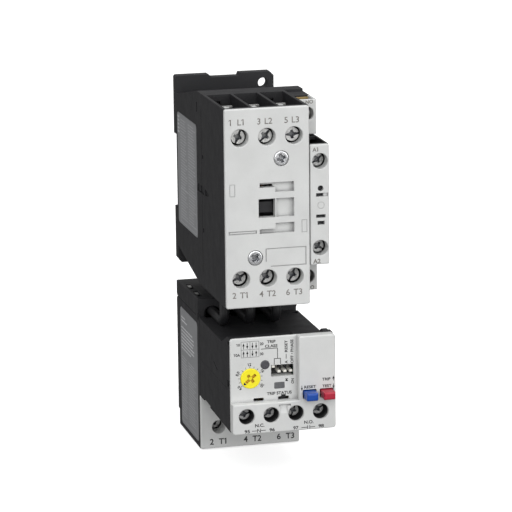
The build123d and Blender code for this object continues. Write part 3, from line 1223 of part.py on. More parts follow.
NC_BRIDGE_BOTTOM = STRIP_TOP + 0.5 + 0.03
NO_BRIDGE_TOP = STRIP_BOTTOM - 0.5 - 0.05 - TRIP_TRAVEL
with BuildPart() as signal_bridges:
    block(-18.0, -4.2, SIGNAL_BRIDGE_BACK, SIGNAL_BRIDGE_FRONT, NC_BRIDGE_BOTTOM, NC_BRIDGE_BOTTOM + 0.8)
    block(3.5, 17.4, SIGNAL_BRIDGE_BACK, SIGNAL_BRIDGE_FRONT, NO_BRIDGE_TOP - 0.8, NO_BRIDGE_TOP)
signal_bridges.part.label = "signal_bridges"
export_step(signal_bridges.part, "parts/signal_bridges.step")

with BuildPart() as trip_slide:
    arm_bottom = NC_BRIDGE_BOTTOM + 0.8
    arm_top = arm_bottom + 1.0
    foot_top = NO_BRIDGE_TOP - 0.8
    block(-1.4, 1.6, 73.6, 77.4, foot_top - 1.2, arm_top)
    block(-14.0, 1.6, 73.6, 77.4, arm_bottom, arm_top)
    block(-1.4, 14.0, 73.6, 77.4, foot_top - 1.2, foot_top)
    block(-1.4, 1.6, 73.6, 99.9, arm_bottom, arm_top)
    block(-1.4, 2.4, 98.7, 99.9, -82.6, arm_top)
trip_slide.part.label = "trip_slide"
export_step(trip_slide.part, "parts/trip_slide.step")

with BuildPart() as trip_magnet:
    block(-9.0, 9.0, 60.0, 74.0, -74.5, -64.5)
    fillet(trip_magnet.edges().filter_by(Axis.Y), 1.5)
    block(-5.5, 5.5, 59.0, 75.0, -75.0, -64.0)
    block(-2.0, 2.0, 66.0, 70.0, -76.4, -74.5)
trip_magnet.part.label = "trip_magnet"
export_step(trip_magnet.part, "parts/trip_magnet.step")
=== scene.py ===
import json
import math
import random

import bmesh
import bpy
from mathutils import Matrix, Vector


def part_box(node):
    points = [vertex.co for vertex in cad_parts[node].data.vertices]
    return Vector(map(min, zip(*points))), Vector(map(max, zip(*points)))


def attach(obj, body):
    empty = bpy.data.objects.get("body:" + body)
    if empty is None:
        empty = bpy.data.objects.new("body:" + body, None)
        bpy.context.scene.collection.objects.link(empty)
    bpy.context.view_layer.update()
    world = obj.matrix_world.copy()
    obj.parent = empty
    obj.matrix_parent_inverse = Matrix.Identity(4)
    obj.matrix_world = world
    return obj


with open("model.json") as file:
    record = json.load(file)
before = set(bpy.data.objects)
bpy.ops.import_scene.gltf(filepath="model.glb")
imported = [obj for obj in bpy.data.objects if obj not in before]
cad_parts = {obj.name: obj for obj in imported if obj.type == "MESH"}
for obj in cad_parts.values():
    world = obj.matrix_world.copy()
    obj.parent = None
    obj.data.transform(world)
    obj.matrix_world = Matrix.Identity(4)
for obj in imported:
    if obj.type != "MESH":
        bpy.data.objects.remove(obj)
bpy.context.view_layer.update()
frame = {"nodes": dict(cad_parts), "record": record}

MM = 0.001
random.seed(7)
scene = bpy.context.scene
nodes = frame["nodes"]

# ---------------------------------------------------------------- places taken from the CAD nodes, in mm
def centre_of(node):
    """X and Z of the middle of a node."""
    low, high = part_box(node)
    return (low.x + high.x) / 2 / MM, (low.z + high.z) / 2 / MM


def front_of(node):
    """Distance of a node's front from the mounting plane, which the front faces away from."""
    return -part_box(node)[0].y / MM


def pole_places():
    """X of the three poles, from the six main terminal screws."""
    low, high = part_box("main_terminal_screws")
    centre = (low.x + high.x) / 2 / MM
    pitch = (high.x - low.x) / 2 / MM - SCREW_HEAD_RADIUS
    return [centre - pitch, centre, centre + pitch]


SCREW_HEAD_RADIUS = 2.95
POLE_X = pole_places()
COVER_FACE = front_of("front_cover")
AUX_FACE = front_of("aux_cover_top")
LEVER_PANEL = front_of("relay_front_cover")
MOTOR_PLATE = front_of("relay_terminal_plate")
LABEL_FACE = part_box("contactor_label")[0].x / MM
DIAL = centre_of("current_dial")
DIAL_FACE = front_of("current_dial")
# The dial stands this far proud of its panel
DIAL_PROUD = 0.5
DIAL_PANEL = DIAL_FACE - DIAL_PROUD


# ---------------------------------------------------------------- camera
CAMERA_AZIMUTH = -14.07
CAMERA_ELEVATION = 12.90
CAMERA_ROLL = -0.62
CAMERA_TARGET = (2.21, -50.0, -31.32)
CAMERA_DISTANCE = 1.2295
SENSOR_WIDTH = 36.0
# Focal length as a multiple of the sensor's width
FOCAL_RATIO = 5.4969


def make_camera():
    """Ordinary perspective from the left of the front and a little above."""
    azimuth = math.radians(CAMERA_AZIMUTH)
    elevation = math.radians(CAMERA_ELEVATION)
    roll = math.radians(CAMERA_ROLL)
    level = math.cos(elevation)
    back = Vector((math.sin(azimuth) * level, -math.cos(azimuth) * level, math.sin(elevation)))
    right = Vector((math.cos(azimuth), math.sin(azimuth), 0.0))
    up = back.cross(right)
    side = right * math.cos(roll) + up * math.sin(roll)
    top = up * math.cos(roll) - right * math.sin(roll)
    camera = bpy.data.cameras.new("camera")
    camera.sensor_width = SENSOR_WIDTH
    camera.lens = SENSOR_WIDTH * FOCAL_RATIO
    camera.clip_start = 0.05
    camera.clip_end = 20.0
    rig = bpy.data.objects.new("camera", camera)
    scene.collection.objects.link(rig)
    turn = Matrix((side, top, back)).transposed().to_4x4()
    place = Vector(CAMERA_TARGET) * MM + back * CAMERA_DISTANCE
    rig.matrix_world = Matrix.Translation(place) @ turn
    scene.camera = rig


# ---------------------------------------------------------------- node helpers
class Nodes:
    """A material's node tree with short calls for adding and joining nodes."""

    def __init__(self, name):
        self.material = bpy.data.materials.new(name)
        self.material.use_nodes = True
        self.tree = self.material.node_tree
        self.shader = self.tree.nodes["Principled BSDF"]
        self.coords = self.add("ShaderNodeTexCoord").outputs["Object"]

    def add(self, kind, **settings):
        node = self.tree.nodes.new(kind)
        for key, value in settings.items():
            setattr(node, key, value)
        return node

    def join(self, source, target):
        self.tree.links.new(source, target)

    def feed(self, value, socket):
        """Sets a socket from a number, a colour or another node's output."""
        if isinstance(value, bpy.types.NodeSocket):
            self.join(value, socket)
        elif isinstance(value, (tuple, list)) and socket.type == "RGBA":
            socket.default_value = (*value[:3], 1.0)
        else:
            socket.default_value = value

    def noise(self, size_mm, detail=3.0, roughness=0.55, stretch=None):
        """Noise whose features are about size_mm across."""
        vector = self.coords
        if stretch:
            mapping = self.add("ShaderNodeMapping")
            mapping.inputs["Scale"].default_value = stretch
            self.join(vector, mapping.inputs["Vector"])
            vector = mapping.outputs["Vector"]
        node = self.add("ShaderNodeTexNoise")
        self.join(vector, node.inputs["Vector"])
        node.inputs["Scale"].default_value = 1.0 / (size_mm * MM)
        node.inputs["Detail"].default_value = detail
        node.inputs["Roughness"].default_value = roughness
        return node.outputs["Fac"]

    def remap(self, value, low, high, to_low, to_high, smooth=False):
        node = self.add("ShaderNodeMapRange")
        node.clamp = True
        if smooth:
            node.interpolation_type = "SMOOTHSTEP"
        self.join(value, node.inputs["Value"])
        node.inputs["From Min"].default_value = low
        node.inputs["From Max"].default_value = high
        node.inputs["To Min"].default_value = to_low
        node.inputs["To Max"].default_value = to_high
        return node.outputs["Result"]

    def mix(self, factor, first, second, mode="MIX"):
        node = self.add("ShaderNodeMix", data_type="RGBA", blend_type=mode)
        self.feed(factor, node.inputs["Factor"])
        self.feed(first, node.inputs["A"])
        self.feed(second, node.inputs["B"])
        return node.outputs["Result"]

    def math(self, operation, first, second=0.0):
        node = self.add("ShaderNodeMath", operation=operation)
        self.feed(first, node.inputs[0])
        self.feed(second, node.inputs[1])
        return node.outputs["Value"]

    def rounded(self, radius_mm):
        """Normal that is rounded over the edges, and a mask that is 1 on them."""
        bevel = self.add("ShaderNodeBevel", samples=4)
        bevel.inputs["Radius"].default_value = radius_mm * MM
        geometry = self.add("ShaderNodeNewGeometry")
        dot = self.add("ShaderNodeVectorMath", operation="DOT_PRODUCT")
        self.join(bevel.outputs["Normal"], dot.inputs[0])
        self.join(geometry.outputs["Normal"], dot.inputs[1])
        mask = self.remap(dot.outputs["Value"], 0.72, 0.99, 1.0, 0.0)
        return bevel.outputs["Normal"], mask

    def hollows(self, reach_mm, low=0.3, high=0.8, own=True):
        """Mask for painted shade: 1 deep in the piece's own recesses, or in any gap if own is false."""
        shade = self.add("ShaderNodeAmbientOcclusion", samples=6, only_local=own)
        shade.inputs["Distance"].default_value = reach_mm * MM
        return self.remap(shade.outputs["AO"], low, high, 1.0, 0.0)

    def bump(self, height, distance_mm, normal=None, strength=1.0):
        node = self.add("ShaderNodeBump")
        node.inputs["Strength"].default_value = strength
        node.inputs["Distance"].default_value = distance_mm * MM
        self.join(height, node.inputs["Height"])
        if normal is not None:
            self.join(normal, node.inputs["Normal"])
        return node.outputs["Normal"]

    def finish(self, colour, roughness, normal=None, **others):
        self.feed(colour, self.shader.inputs["Base Color"])
        self.feed(roughness, self.shader.inputs["Roughness"])
        if normal is not None:
            self.join(normal, self.shader.inputs["Normal"])
        for key, value in others.items():
            self.feed(value, self.shader.inputs[key.replace("_", " ")])
        return self.material


def grey(level):
    """Linear grey from a display level of 0 to 255."""
    value = level / 255.0
    linear = value / 12.92 if value <= 0.04045 else ((value + 0.055) / 1.055) ** 2.4
    return (linear, linear, linear)


def tint(red, green, blue):
    """Linear colour from display levels of 0 to 255."""
    return tuple(grey(level)[0] for level in (red, green, blue))


def scaled(colour, factor):
    return tuple(min(1.0, channel * factor) for channel in colour)


# ---------------------------------------------------------------- materials
# Reach of the painted shade in recesses and in deep wells, in mm
RECESS_REACH = 2.2
WELL_REACH = 6.0


# edge is the brightness of the painted highlight on edges; shade is the colour of the painted shade in
# recesses
def moulded(
    name, colour, roughness=0.5, grain=0.22, depth=0.006, edge=1.25, soft=0.18, specular=0.5, shade=None
):
    """Moulded plastic: spark-eroded grain, slight clouding, a painted highlight on edges, and painted
    shade in recesses if a shade colour is given.
    """
    n = Nodes(name)
    normal, mask = n.rounded(soft)
    clouds = n.noise(14.0, 4.0)
    flecks = n.noise(0.7, 2.0)
    base = n.mix(n.remap(clouds, 0.3, 0.7, 0.0, 1.0), scaled(colour, 0.95), scaled(colour, 1.04))
    base = n.mix(n.remap(flecks, 0.55, 0.75, 0.0, 0.35), base, scaled(colour, 0.93))
    # Painted highlight: edges lighter by the factor edge
    base = n.mix(n.math("MULTIPLY", mask, 0.55), base, scaled(colour, edge))
    if shade:
        # Painted shade: darker towards the shade colour deep in recesses
        base = n.mix(n.math("MULTIPLY", n.hollows(RECESS_REACH), 0.9), base, shade)
    rough = n.remap(n.noise(5.0, 5.0), 0.3, 0.7, roughness - 0.06, roughness + 0.07)
    rough = n.math("SUBTRACT", rough, n.math("MULTIPLY", mask, 0.08))
    bumped = n.bump(n.noise(grain, 2.0), depth, normal)
    return n.finish(base, rough, bumped, Specular_IOR_Level=specular)


# Near-black colour of the painted shade in metal's wells and recesses
PAINTED_SHADE_DARK = (0.03, 0.034, 0.045)


def metal(name, colour, roughness=0.3, brush=None, tarnish=0.75, soft=0.08, depth=0.002):
    """Plated or bare metal with drawn or tumbled marks, duller patches, a painted highlight on edges and
    painted shade in wells and recesses.
    """
    n = Nodes(name)
    normal, mask = n.rounded(soft)
    patches = n.remap(n.noise(2.5, 5.0, 0.65), 0.35, 0.7, 0.0, 1.0)
    marks = n.noise(0.18, 4.0, 0.6, stretch=brush)
    base = n.mix(patches, scaled(colour, tarnish), colour)
    # Painted highlight: edges lighter
    base = n.mix(n.math("MULTIPLY", mask, 0.5), base, scaled(colour, 1.25))
    # Painted shade: darker deep in the wells round the part
    base = n.mix(n.math("MULTIPLY", n.hollows(WELL_REACH, 0.15, 0.42, False), 0.8), base, PAINTED_SHADE_DARK)
    # Painted shade: darker in the part's own recesses, such as a screw's cross
    base = n.mix(n.math("MULTIPLY", n.hollows(RECESS_REACH), 0.95), base, PAINTED_SHADE_DARK)
    rough = n.remap(marks, 0.3, 0.7, roughness * 0.75, roughness * 1.35)
    rough = n.math("ADD", rough, n.math("MULTIPLY", n.math("SUBTRACT", 1.0, patches), 0.08))
    dented = n.bump(n.noise(1.4, 1.0), 0.05, normal)
    bumped = n.bump(marks, depth, dented)
    return n.finish(base, rough, bumped, Metallic=1.0)


def ink(name, colour):
    """Pad-printed ink: slightly uneven coverage."""
    n = Nodes(name)
    thin = n.remap(n.noise(0.35, 3.0), 0.35, 0.75, 0.0, 1.0)
    base = n.mix(thin, colour, scaled(colour, 1.35))
    return n.finish(base, n.remap(thin, 0.0, 1.0, 0.42, 0.6), Specular_IOR_Level=0.4)


def film(name, colour):
    """Printed label film: very fine weave of dots under a satin coat."""
    n = Nodes(name)
    fine = n.noise(0.3, 2.0)
    broad = n.noise(9.0, 3.0)
    base = n.mix(n.remap(broad, 0.3, 0.7, 0.0, 1.0), scaled(colour, 0.94), scaled(colour, 1.05))
    bumped = n.bump(fine, 0.003)
    return n.finish(base, n.remap(broad, 0.3, 0.7, 0.34, 0.44), bumped, Specular_IOR_Level=0.5)


def bands(pitch_mm):
    """Scale at which the wave texture, which turns 20 radians per unit, repeats at a pitch."""
    return 2.0 * math.pi / (pitch_mm * MM) / 20.0


def winding(name, colour):
    """Enamelled wire lying side by side."""
    n = Nodes(name)
    wave = n.add("ShaderNodeTexWave", wave_type="BANDS", bands_direction="Y", wave_profile="SIN")
    n.join(n.coords, wave.inputs["Vector"])
    wave.inputs["Scale"].default_value = bands(0.4)
    wave.inputs["Distortion"].default_value = 0.4
    wave.inputs["Detail"].default_value = 1.0
    base = n.mix(wave.outputs["Fac"], scaled(colour, 0.45), colour)
    bumped = n.bump(wave.outputs["Fac"], 0.12)
    return n.finish(base, n.remap(n.noise(2.0), 0.3, 0.7, 0.22, 0.34), bumped, Metallic=0.85)


def laminated(name, colour):
    """Stacked sheet steel seen on edge: thin lines across X."""
    n = Nodes(name)
    wave = n.add("ShaderNodeTexWave", wave_type="BANDS", bands_direction="X", wave_profile="SAW")
    n.join(n.coords, wave.inputs["Vector"])
    wave.inputs["Scale"].default_value = bands(0.5)
    base = n.mix(n.remap(wave.outputs["Fac"], 0.0, 0.25, 0.0, 1.0), scaled(colour, 0.4), colour)
    stains = n.remap(n.noise(3.0, 5.0), 0.4, 0.7, 0.0, 1.0)
    base = n.mix(n.math("MULTIPLY", stains, 0.4), base, scaled(colour, 0.6))
    bumped = n.bump(wave.outputs["Fac"], 0.02)
    return n.finish(base, n.remap(stains, 0.0, 1.0, 0.3, 0.5), bumped, Metallic=0.9)


def smoked(name, colour):
    """Clear moulding over something dark."""
    n = Nodes(name)
    normal, mask = n.rounded(0.15)
    base = n.mix(n.remap(n.noise(1.2, 3.0), 0.35, 0.7, 0.0, 1.0), colour, scaled(colour, 1.3))
    bumped = n.bump(n.noise(0.5, 2.0), 0.002, normal)
    return n.finish(base, n.remap(n.noise(0.9), 0.3, 0.7, 0.25, 0.4), bumped, Coat_Weight=0.6)


def fibreglass(name, colour):
    """Circuit board: solder mask with copper tracks showing through."""
    n = Nodes(name)
    brick = n.add("ShaderNodeTexBrick")
    mapping = n.add("ShaderNodeMapping")
    mapping.inputs["Rotation"].default_value = (math.radians(90), 0.0, 0.0)
    n.join(n.coords, mapping.inputs["Vector"])
    n.join(mapping.outputs["Vector"], brick.inputs["Vector"])
    brick.inputs["Scale"].default_value = 260.0
    brick.inputs["Mortar Size"].default_value = 0.05
    n.feed(scaled(colour, 0.9), brick.inputs["Color1"])
    n.feed(colour, brick.inputs["Color2"])
    n.feed(scaled(colour, 1.9), brick.inputs["Mortar"])
    bumped = n.bump(brick.outputs["Fac"], 0.03)
    return n.finish(brick.outputs["Color"], n.remap(n.noise(2.0), 0.3, 0.7, 0.3, 0.42), bumped)


COVER_GREY = tint(206, 207, 206)
CHARCOAL = tint(37, 37, 39)

# In the moulded finishes, edge sets the painted highlight on edges and shade the colour of the painted
# shade in recesses
MATERIALS = {
    "housing_black": moulded(
        "housing_black", CHARCOAL, 0.5, grain=0.3, depth=0.012, edge=1.9, soft=0.2, specular=0.3
    ),
    "cover_grey": moulded(
        "cover_grey",
        COVER_GREY,
        0.48,
        grain=0.2,
        depth=0.005,
        edge=1.08,
        soft=0.16,
        specular=0.45,
        shade=tint(146, 146, 147),
    ),
    "plate_grey": moulded(
        "plate_grey",
        tint(198, 199, 198),
        0.5,
        grain=0.2,
        depth=0.006,
        edge=1.15,
        soft=0.18,
        specular=0.45,
        shade=tint(70, 70, 71),
    ),
    "label_grey": film("label_grey", tint(136, 137, 139)),
    "latch_grey": moulded("latch_grey", tint(120, 121, 122), grain=0.25, depth=0.008, edge=1.2),
    "screw_bright": metal("screw_bright", (0.97, 0.98, 1.0), 0.2, tarnish=0.94),
    "steel_plated": metal("steel_plated", (0.95, 0.95, 0.93), 0.3, tarnish=0.62),
    "spring_steel": metal("spring_steel", (0.5, 0.5, 0.5), 0.25, tarnish=0.8),
    "brass_plain": metal("brass_plain", (0.72, 0.52, 0.22), 0.3, tarnish=0.75),
    "copper_bar": metal("copper_bar", (0.75, 0.4, 0.26), 0.32, brush=(1.0, 0.2, 0.2), tarnish=0.7),
    "magnet_iron": laminated("magnet_iron", (0.42, 0.42, 0.43)),
    "pad_rubber": moulded("pad_rubber", tint(50, 50, 52), 0.7, grain=0.4, depth=0.02, edge=1.2),
    "bobbin_cream": moulded("bobbin_cream", tint(205, 196, 172), 0.45, grain=0.3, edge=1.1),
    "winding_copper": winding("winding_copper", (0.62, 0.24, 0.1)),
    "sleeve_black": moulded(
        "sleeve_black", tint(28, 28, 30), 0.38, grain=0.8, depth=0.02, edge=1.5, soft=0.1
    ),
    "board_green": fibreglass("board_green", (0.03, 0.14, 0.07)),
    "pot_blue": moulded("pot_blue", tint(60, 105, 160), 0.35, grain=0.3, depth=0.004, edge=1.2),
    "dial_yellow": moulded(
        "dial_yellow",
        tint(246, 232, 40),
        0.36,
        grain=0.25,
        depth=0.003,
        edge=1.12,
        soft=0.12,
        shade=tint(186, 128, 24),
    ),
    "lens_dark": smoked("lens_dark", tint(70, 70, 74)),
    "window_dark": smoked("window_dark", tint(92, 93, 95)),
    "dip_black": moulded(
        "dip_black", tint(34, 34, 36), 0.35, grain=0.3, depth=0.004, edge=1.5, soft=0.1
    ),
    "slider_white": moulded(
        "slider_white", tint(232, 230, 222), 0.4, grain=0.25, depth=0.003, edge=1.05, soft=0.1
    ),
    "lever_blue": moulded(
        "lever_blue", tint(14, 70, 158), 0.34, grain=0.25, depth=0.004, edge=1.5, soft=0.2
    ),
    "lever_red": moulded(
        "lever_red", tint(172, 32, 56), 0.36, grain=0.25, depth=0.004, edge=1.35, soft=0.2
    ),
    "transformer_black": moulded(
        "transformer_black", tint(52, 52, 56), 0.4, grain=0.5, depth=0.02, edge=1.4
    ),
}
INK_PALE = ink("ink_pale", tint(118, 115, 111))
INK_DARK = ink("ink_dark", tint(20, 20, 22))
INK_PLATE = ink("ink_plate", tint(36, 36, 36))
INK_NAVY = ink("ink_navy", tint(16, 18, 60))
INK_LABEL = ink("ink_label", tint(172, 173, 175))
INK_LABEL_BRIGHT = ink("ink_label_bright", tint(206, 207, 209))

slot_of = {entry["node"]: entry["material_slot"] for entry in frame["record"]["subparts"]}
for name, part in nodes.items():
    part.data.materials.clear()
    part.data.materials.append(MATERIALS[slot_of[name]])


# ---------------------------------------------------------------- print laid on a face
FRONT = Matrix(((1, 0, 0), (0, 0, -1), (0, 1, 0))).to_4x4()
LEFT_SIDE = Matrix(((0, 0, -1), (-1, 0, 0), (0, 1, 0))).to_4x4()
# The print reaches this far below and above the face, in mm
PRINT_BELOW = 0.012
PRINT_ABOVE = 0.022
# Width of the legends' lines and the size of their arrow heads
FINE = 0.27
ARROW_HEAD = 0.78 * 1.7
ARROW_HALF = 0.78 * 0.62


class Print:
    """Collects lettering, lines and arrows in a face's own plane, in mm, as one thin mesh."""

    def __init__(self):
        self.mesh = bmesh.new()

    def prism(self, points):
        """Thin plate with a convex or concave outline given anticlockwise."""
        low = [self.mesh.verts.new((x, y, -PRINT_BELOW)) for x, y in points]
        high = [self.mesh.verts.new((x, y, PRINT_ABOVE)) for x, y in points]
        self.mesh.faces.new(high)
        self.mesh.faces.new(list(reversed(low)))
        count = len(points)
        for i in range(count):
            j = (i + 1) % count
            self.mesh.faces.new((low[i], low[j], high[j], high[i]))

    def bar(self, x0, y0, x1, y1, width):
        """Straight line of a given width between two points."""
        start, end = Vector((x0, y0)), Vector((x1, y1))
        along = (end - start).normalized()
        across = Vector((-along.y, along.x)) * width / 2
        self.prism([start - across, end - across, end + across, start + across])

    def path(self, points, width):
        """Run of lines whose corners are covered square."""
        for (x0, y0), (x1, y1) in zip(points, points[1:]):
            along = Vector((x1 - x0, y1 - y0)).normalized() * width / 2
            self.bar(x0 - along.x, y0 - along.y, x1 + along.x, y1 + along.y, width)

    def hollow(self, x0, x1, y0, y1, width):
        """Hollow rectangle."""
        half = width / 2
        self.bar(x0 - half, y0, x1 + half, y0, width)
        self.bar(x0 - half, y1, x1 + half, y1, width)
        self.bar(x0, y0 + half, x0, y1 - half, width)
        self.bar(x1, y0 + half, x1, y1 - half, width)

    def disc(self, x, y, radius, count=20):
        angles = [2 * math.pi * i / count for i in range(count)]
        self.prism([(x + radius * math.cos(angle), y + radius * math.sin(angle)) for angle in angles])

    def arrow(self, x, tail, tip):
        """Upright arrow from its tail height to its tip height."""
        sign = 1 if tip > tail else -1
        neck = tip - sign * ARROW_HEAD
        self.bar(x, tail, x, neck, FINE)
        outline = [(x - ARROW_HALF, neck), (x + ARROW_HALF, neck), (x, tip)]
        self.prism(outline if sign > 0 else [outline[1], outline[0], outline[2]])

    def text(self, words, x, y, height, width=None, anchor="left", turn=0.0, bold=0.028):
        """Lettering with a cap height and, if given, a total width; x, y is the baseline anchor."""
        curve = bpy.data.curves.new("lettering", "FONT")
        curve.body = words
        curve.size = 1.0
        curve.resolution_u = 6
        curve.offset = bold
        carrier = bpy.data.objects.new("lettering", curve)
        scene.collection.objects.link(carrier)
        bpy.context.view_layer.update()
        flat = bpy.data.meshes.new_from_object(carrier)
        bpy.data.objects.remove(carrier)
        bpy.data.curves.remove(curve)
        low = min(v.co.x for v in flat.vertices)
        high = max(v.co.x for v in flat.vertices)
        tall = height / CAP_HEIGHT
        wide = tall if width is None else width / (high - low)
        span = (high - low) * wide
        shift = {"left": 0.0, "centre": -span / 2, "right": -span}[anchor]
        spin = Matrix.Rotation(math.radians(turn), 2)
        raised = bmesh.new()
        raised.from_mesh(flat)
        bpy.data.meshes.remove(flat)
        bmesh.ops.remove_doubles(raised, verts=raised.verts, dist=1e-5)
        if "1" in words:
            add_flags(raised)
        for vert in raised.verts:
            place = spin @ Vector(((vert.co.x - low) * wide + shift, vert.co.y * tall))
            vert.co = Vector((x + place.x, y + place.y, -PRINT_BELOW))
        lift = bmesh.ops.extrude_face_region(raised, geom=list(raised.faces))
        for item in lift["geom"]:
            if isinstance(item, bmesh.types.BMVert):
                item.co.z = PRINT_ABOVE
        bmesh.ops.recalc_face_normals(raised, faces=raised.faces)
        joined = bpy.data.meshes.new("lettering")
        raised.to_mesh(joined)
        raised.free()
        self.mesh.from_mesh(joined)
        bpy.data.meshes.remove(joined)

    def lay(self, name, turn, place_mm, body, material):
        """Turns the plate onto its face, names it and lets it ride."""
        data = bpy.data.meshes.new(name)
        self.mesh.to_mesh(data)
        self.mesh.free()
        data.transform(Matrix.Translation(Vector(place_mm) * MM) @ turn @ Matrix.Scale(MM, 4))
        data.materials.append(material)
        piece = bpy.data.objects.new(name, data)
        scene.collection.objects.link(piece)
        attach(piece, body)
        return piece


# A plain stroke is narrower than this share of its height; the rest places its flag, in the same shares
STROKE_WIDEST = 0.3
FLAG_INSET = 0.02
FLAG_REACH = 0.24
FLAG_TIP_HIGH = 0.84
FLAG_TIP_LOW = 0.72
FLAG_ROOT_LOW = 0.86


def add_flags(letters):
    """Gives every plain upright stroke the slanting flag of a figure one."""
    left = set(letters.verts)
    flags = []
    while left:
        island, edge = set(), [left.pop()]
        while edge:
            vert = edge.pop()
            island.add(vert)
            for link in vert.link_edges:
                other = link.other_vert(vert)
                if other in left:
                    left.discard(other)
                    edge.append(other)
        low = min(vert.co.x for vert in island)
        tall = max(vert.co.y for vert in island)
        if max(vert.co.x for vert in island) - low < STROKE_WIDEST * tall:
            flags.append((low, tall))
    for x, tall in flags:
        root = x + FLAG_INSET * tall
        tip = x - FLAG_REACH * tall
        outline = (
            (root, tall),
            (tip, FLAG_TIP_HIGH * tall),
            (tip, FLAG_TIP_LOW * tall),
            (root, FLAG_ROOT_LOW * tall),
        )
        letters.faces.new([letters.verts.new((px, py, 0.0)) for px, py in outline])


def cap_height():
    """Height of a capital in the built-in font at size 1."""
    curve = bpy.data.curves.new("measure", "FONT")
    curve.body = "H"
    carrier = bpy.data.objects.new("measure", curve)
    scene.collection.objects.link(carrier)
    bpy.context.view_layer.update()
    flat = bpy.data.meshes.new_from_object(carrier)
    tall = max(v.co.y for v in flat.vertices)
    bpy.data.objects.remove(carrier)
    bpy.data.meshes.remove(flat)
    bpy.data.curves.remove(curve)
    return tall


CAP_HEIGHT = cap_height()

# Contactor cover: the three poles' terminal numbers
LINE_ROW = 35.72
LOAD_ROW = -38.0
POLE_CAP = 2.45
POLE_BOLD = 0.012
cover_print = Print()
for index, pole in enumerate(POLE_X):
    for row, letter, number, number_left, letter_left in (
        (LINE_ROW, "L", 2 * index + 1, 4.15, 0.95),
        (LOAD_ROW, "T", 2 * index + 2, 3.95, 0.7),
    ):
        cover_print.text(str(number), pole - number_left, row, POLE_CAP, bold=POLE_BOLD)
        cover_print.text(letter + str(index + 1), pole - letter_left, row, POLE_CAP, bold=POLE_BOLD)
cover_print.lay("legend_contactor", FRONT, (0, -COVER_FACE, 0), "starter", INK_PALE)

coil_print = Print()
coil_print.text("A1", 15.2, 22.85, 1.65)
coil_print.text("A2", 15.25, -25.15, 1.85)
coil_print.lay("legend_coil", FRONT, (0, -COVER_FACE, 0), "starter", INK_PALE)

for name, base in (("legend_aux_top", 39.75), ("legend_aux_bottom", -41.1)):
    aux_print = Print()
    aux_print.text("NO", 17.8, base, 1.5, 3.3)
    aux_print.lay(name, FRONT, (0, -AUX_FACE, 0), "starter", INK_PALE)

# Dial panel: the trip class table, two cells wide and two high, with a pair of arrows in each
TABLE_LEFT, TABLE_MIDDLE, TABLE_RIGHT = -17.7, -13.85, -10.0
TABLE_LOW, TABLE_RULE, TABLE_HIGH = -62.55, -59.2, -55.75
TABLE_LINE = 0.13
ARROW_REACH = 1.3
panel = Print()
panel.hollow(TABLE_LEFT, TABLE_RIGHT, TABLE_LOW, TABLE_HIGH, TABLE_LINE)
panel.bar(TABLE_LEFT, TABLE_RULE, TABLE_RIGHT, TABLE_RULE, TABLE_LINE)
panel.bar(TABLE_MIDDLE, TABLE_HIGH, TABLE_MIDDLE, TABLE_LOW, TABLE_LINE)
ARROWS = (("up", "down", "down", "down"), ("up", "up", "down", "up"))
for middle, row in zip((-57.6, -61.0), ARROWS):
    for x, way in zip((-16.65, -15.05, -12.8, -11.2), row):
        reach = ARROW_REACH if way == "up" else -ARROW_REACH
        panel.arrow(x, middle - reach, middle + reach)

# Its words: x and baseline, cap height, width (None leaves the font's own), anchor and turn
for words, x, base, cap, width, anchor, turn in (
    ("10", -18.2, -57.5, 1.1, None, "right", 0),
    ("20", -9.6, -57.6, 1.1, None, "left", 0),
    ("10A", -18.2, -61.85, 1.1, None, "right", 0),
    ("30", -9.6, -62.0, 1.1, None, "left", 0),
    ("TRIP", -4.6, -56.95, 1.15, 3.7, "centre", 0),
    ("CLASS", -4.63, -58.85, 1.15, 5.45, "centre", 0),
    ("RESET", 2.38, -61.42, 1.12, 5.15, "left", 90),
    ("A", 2.38, -66.35, 1.12, None, "left", 90),
    ("PHASE", 4.92, -61.45, 1.15, 5.35, "left", 90),
    ("OFF", 4.92, -66.45, 1.15, 3.35, "left", 90),
    ("M", 2.5, -74.1, 1.1, None, "left", 90),
    ("ON", 5.1, -75.4, 1.12, 2.3, "left", 90),
    ("TRIP STATUS", -6.75, -79.65, 1.2, 10.85, "left", 0),
):
    panel.text(words, x, base, cap, width, anchor, turn)

# The line from the words to the first two switches, and the marks between the upright words
FORK_LEFT, FORK_RIGHT = -3.38, -0.67
FORK_HIGH, FORK_LOW = -63.95, -66.3
LEAD_TOP = -59.35
LEAD_X = -1.94
panel.path(((-8.94, LEAD_TOP), (LEAD_X, LEAD_TOP), (LEAD_X, FORK_HIGH)), FINE)
panel.path(
    ((FORK_LEFT, FORK_LOW), (FORK_LEFT, FORK_HIGH), (FORK_RIGHT, FORK_HIGH), (FORK_RIGHT, FORK_LOW)),
    FINE,
)
panel.bar(1.82, -62.2, 1.82, -64.35, FINE)
panel.disc(4.35, -62.25, 0.24)

# The dial's scale: ticks from the lowest setting clockwise to the highest, and numbers at five of them
TICK_START = 219.6
TICK_STEP = 21.15
TICK_INNER = 4.62
TICK_OUTER = 5.3
TICK_WIDTH = 0.2
NUMBER_FOOT = 5.5
DIAL_CENTRE = Vector(DIAL)


def dial_ray(degrees):
    """Unit vector from the dial's centre, counted anticlockwise from the right."""
    angle = math.radians(degrees)
    return Vector((math.cos(angle), math.sin(angle)))


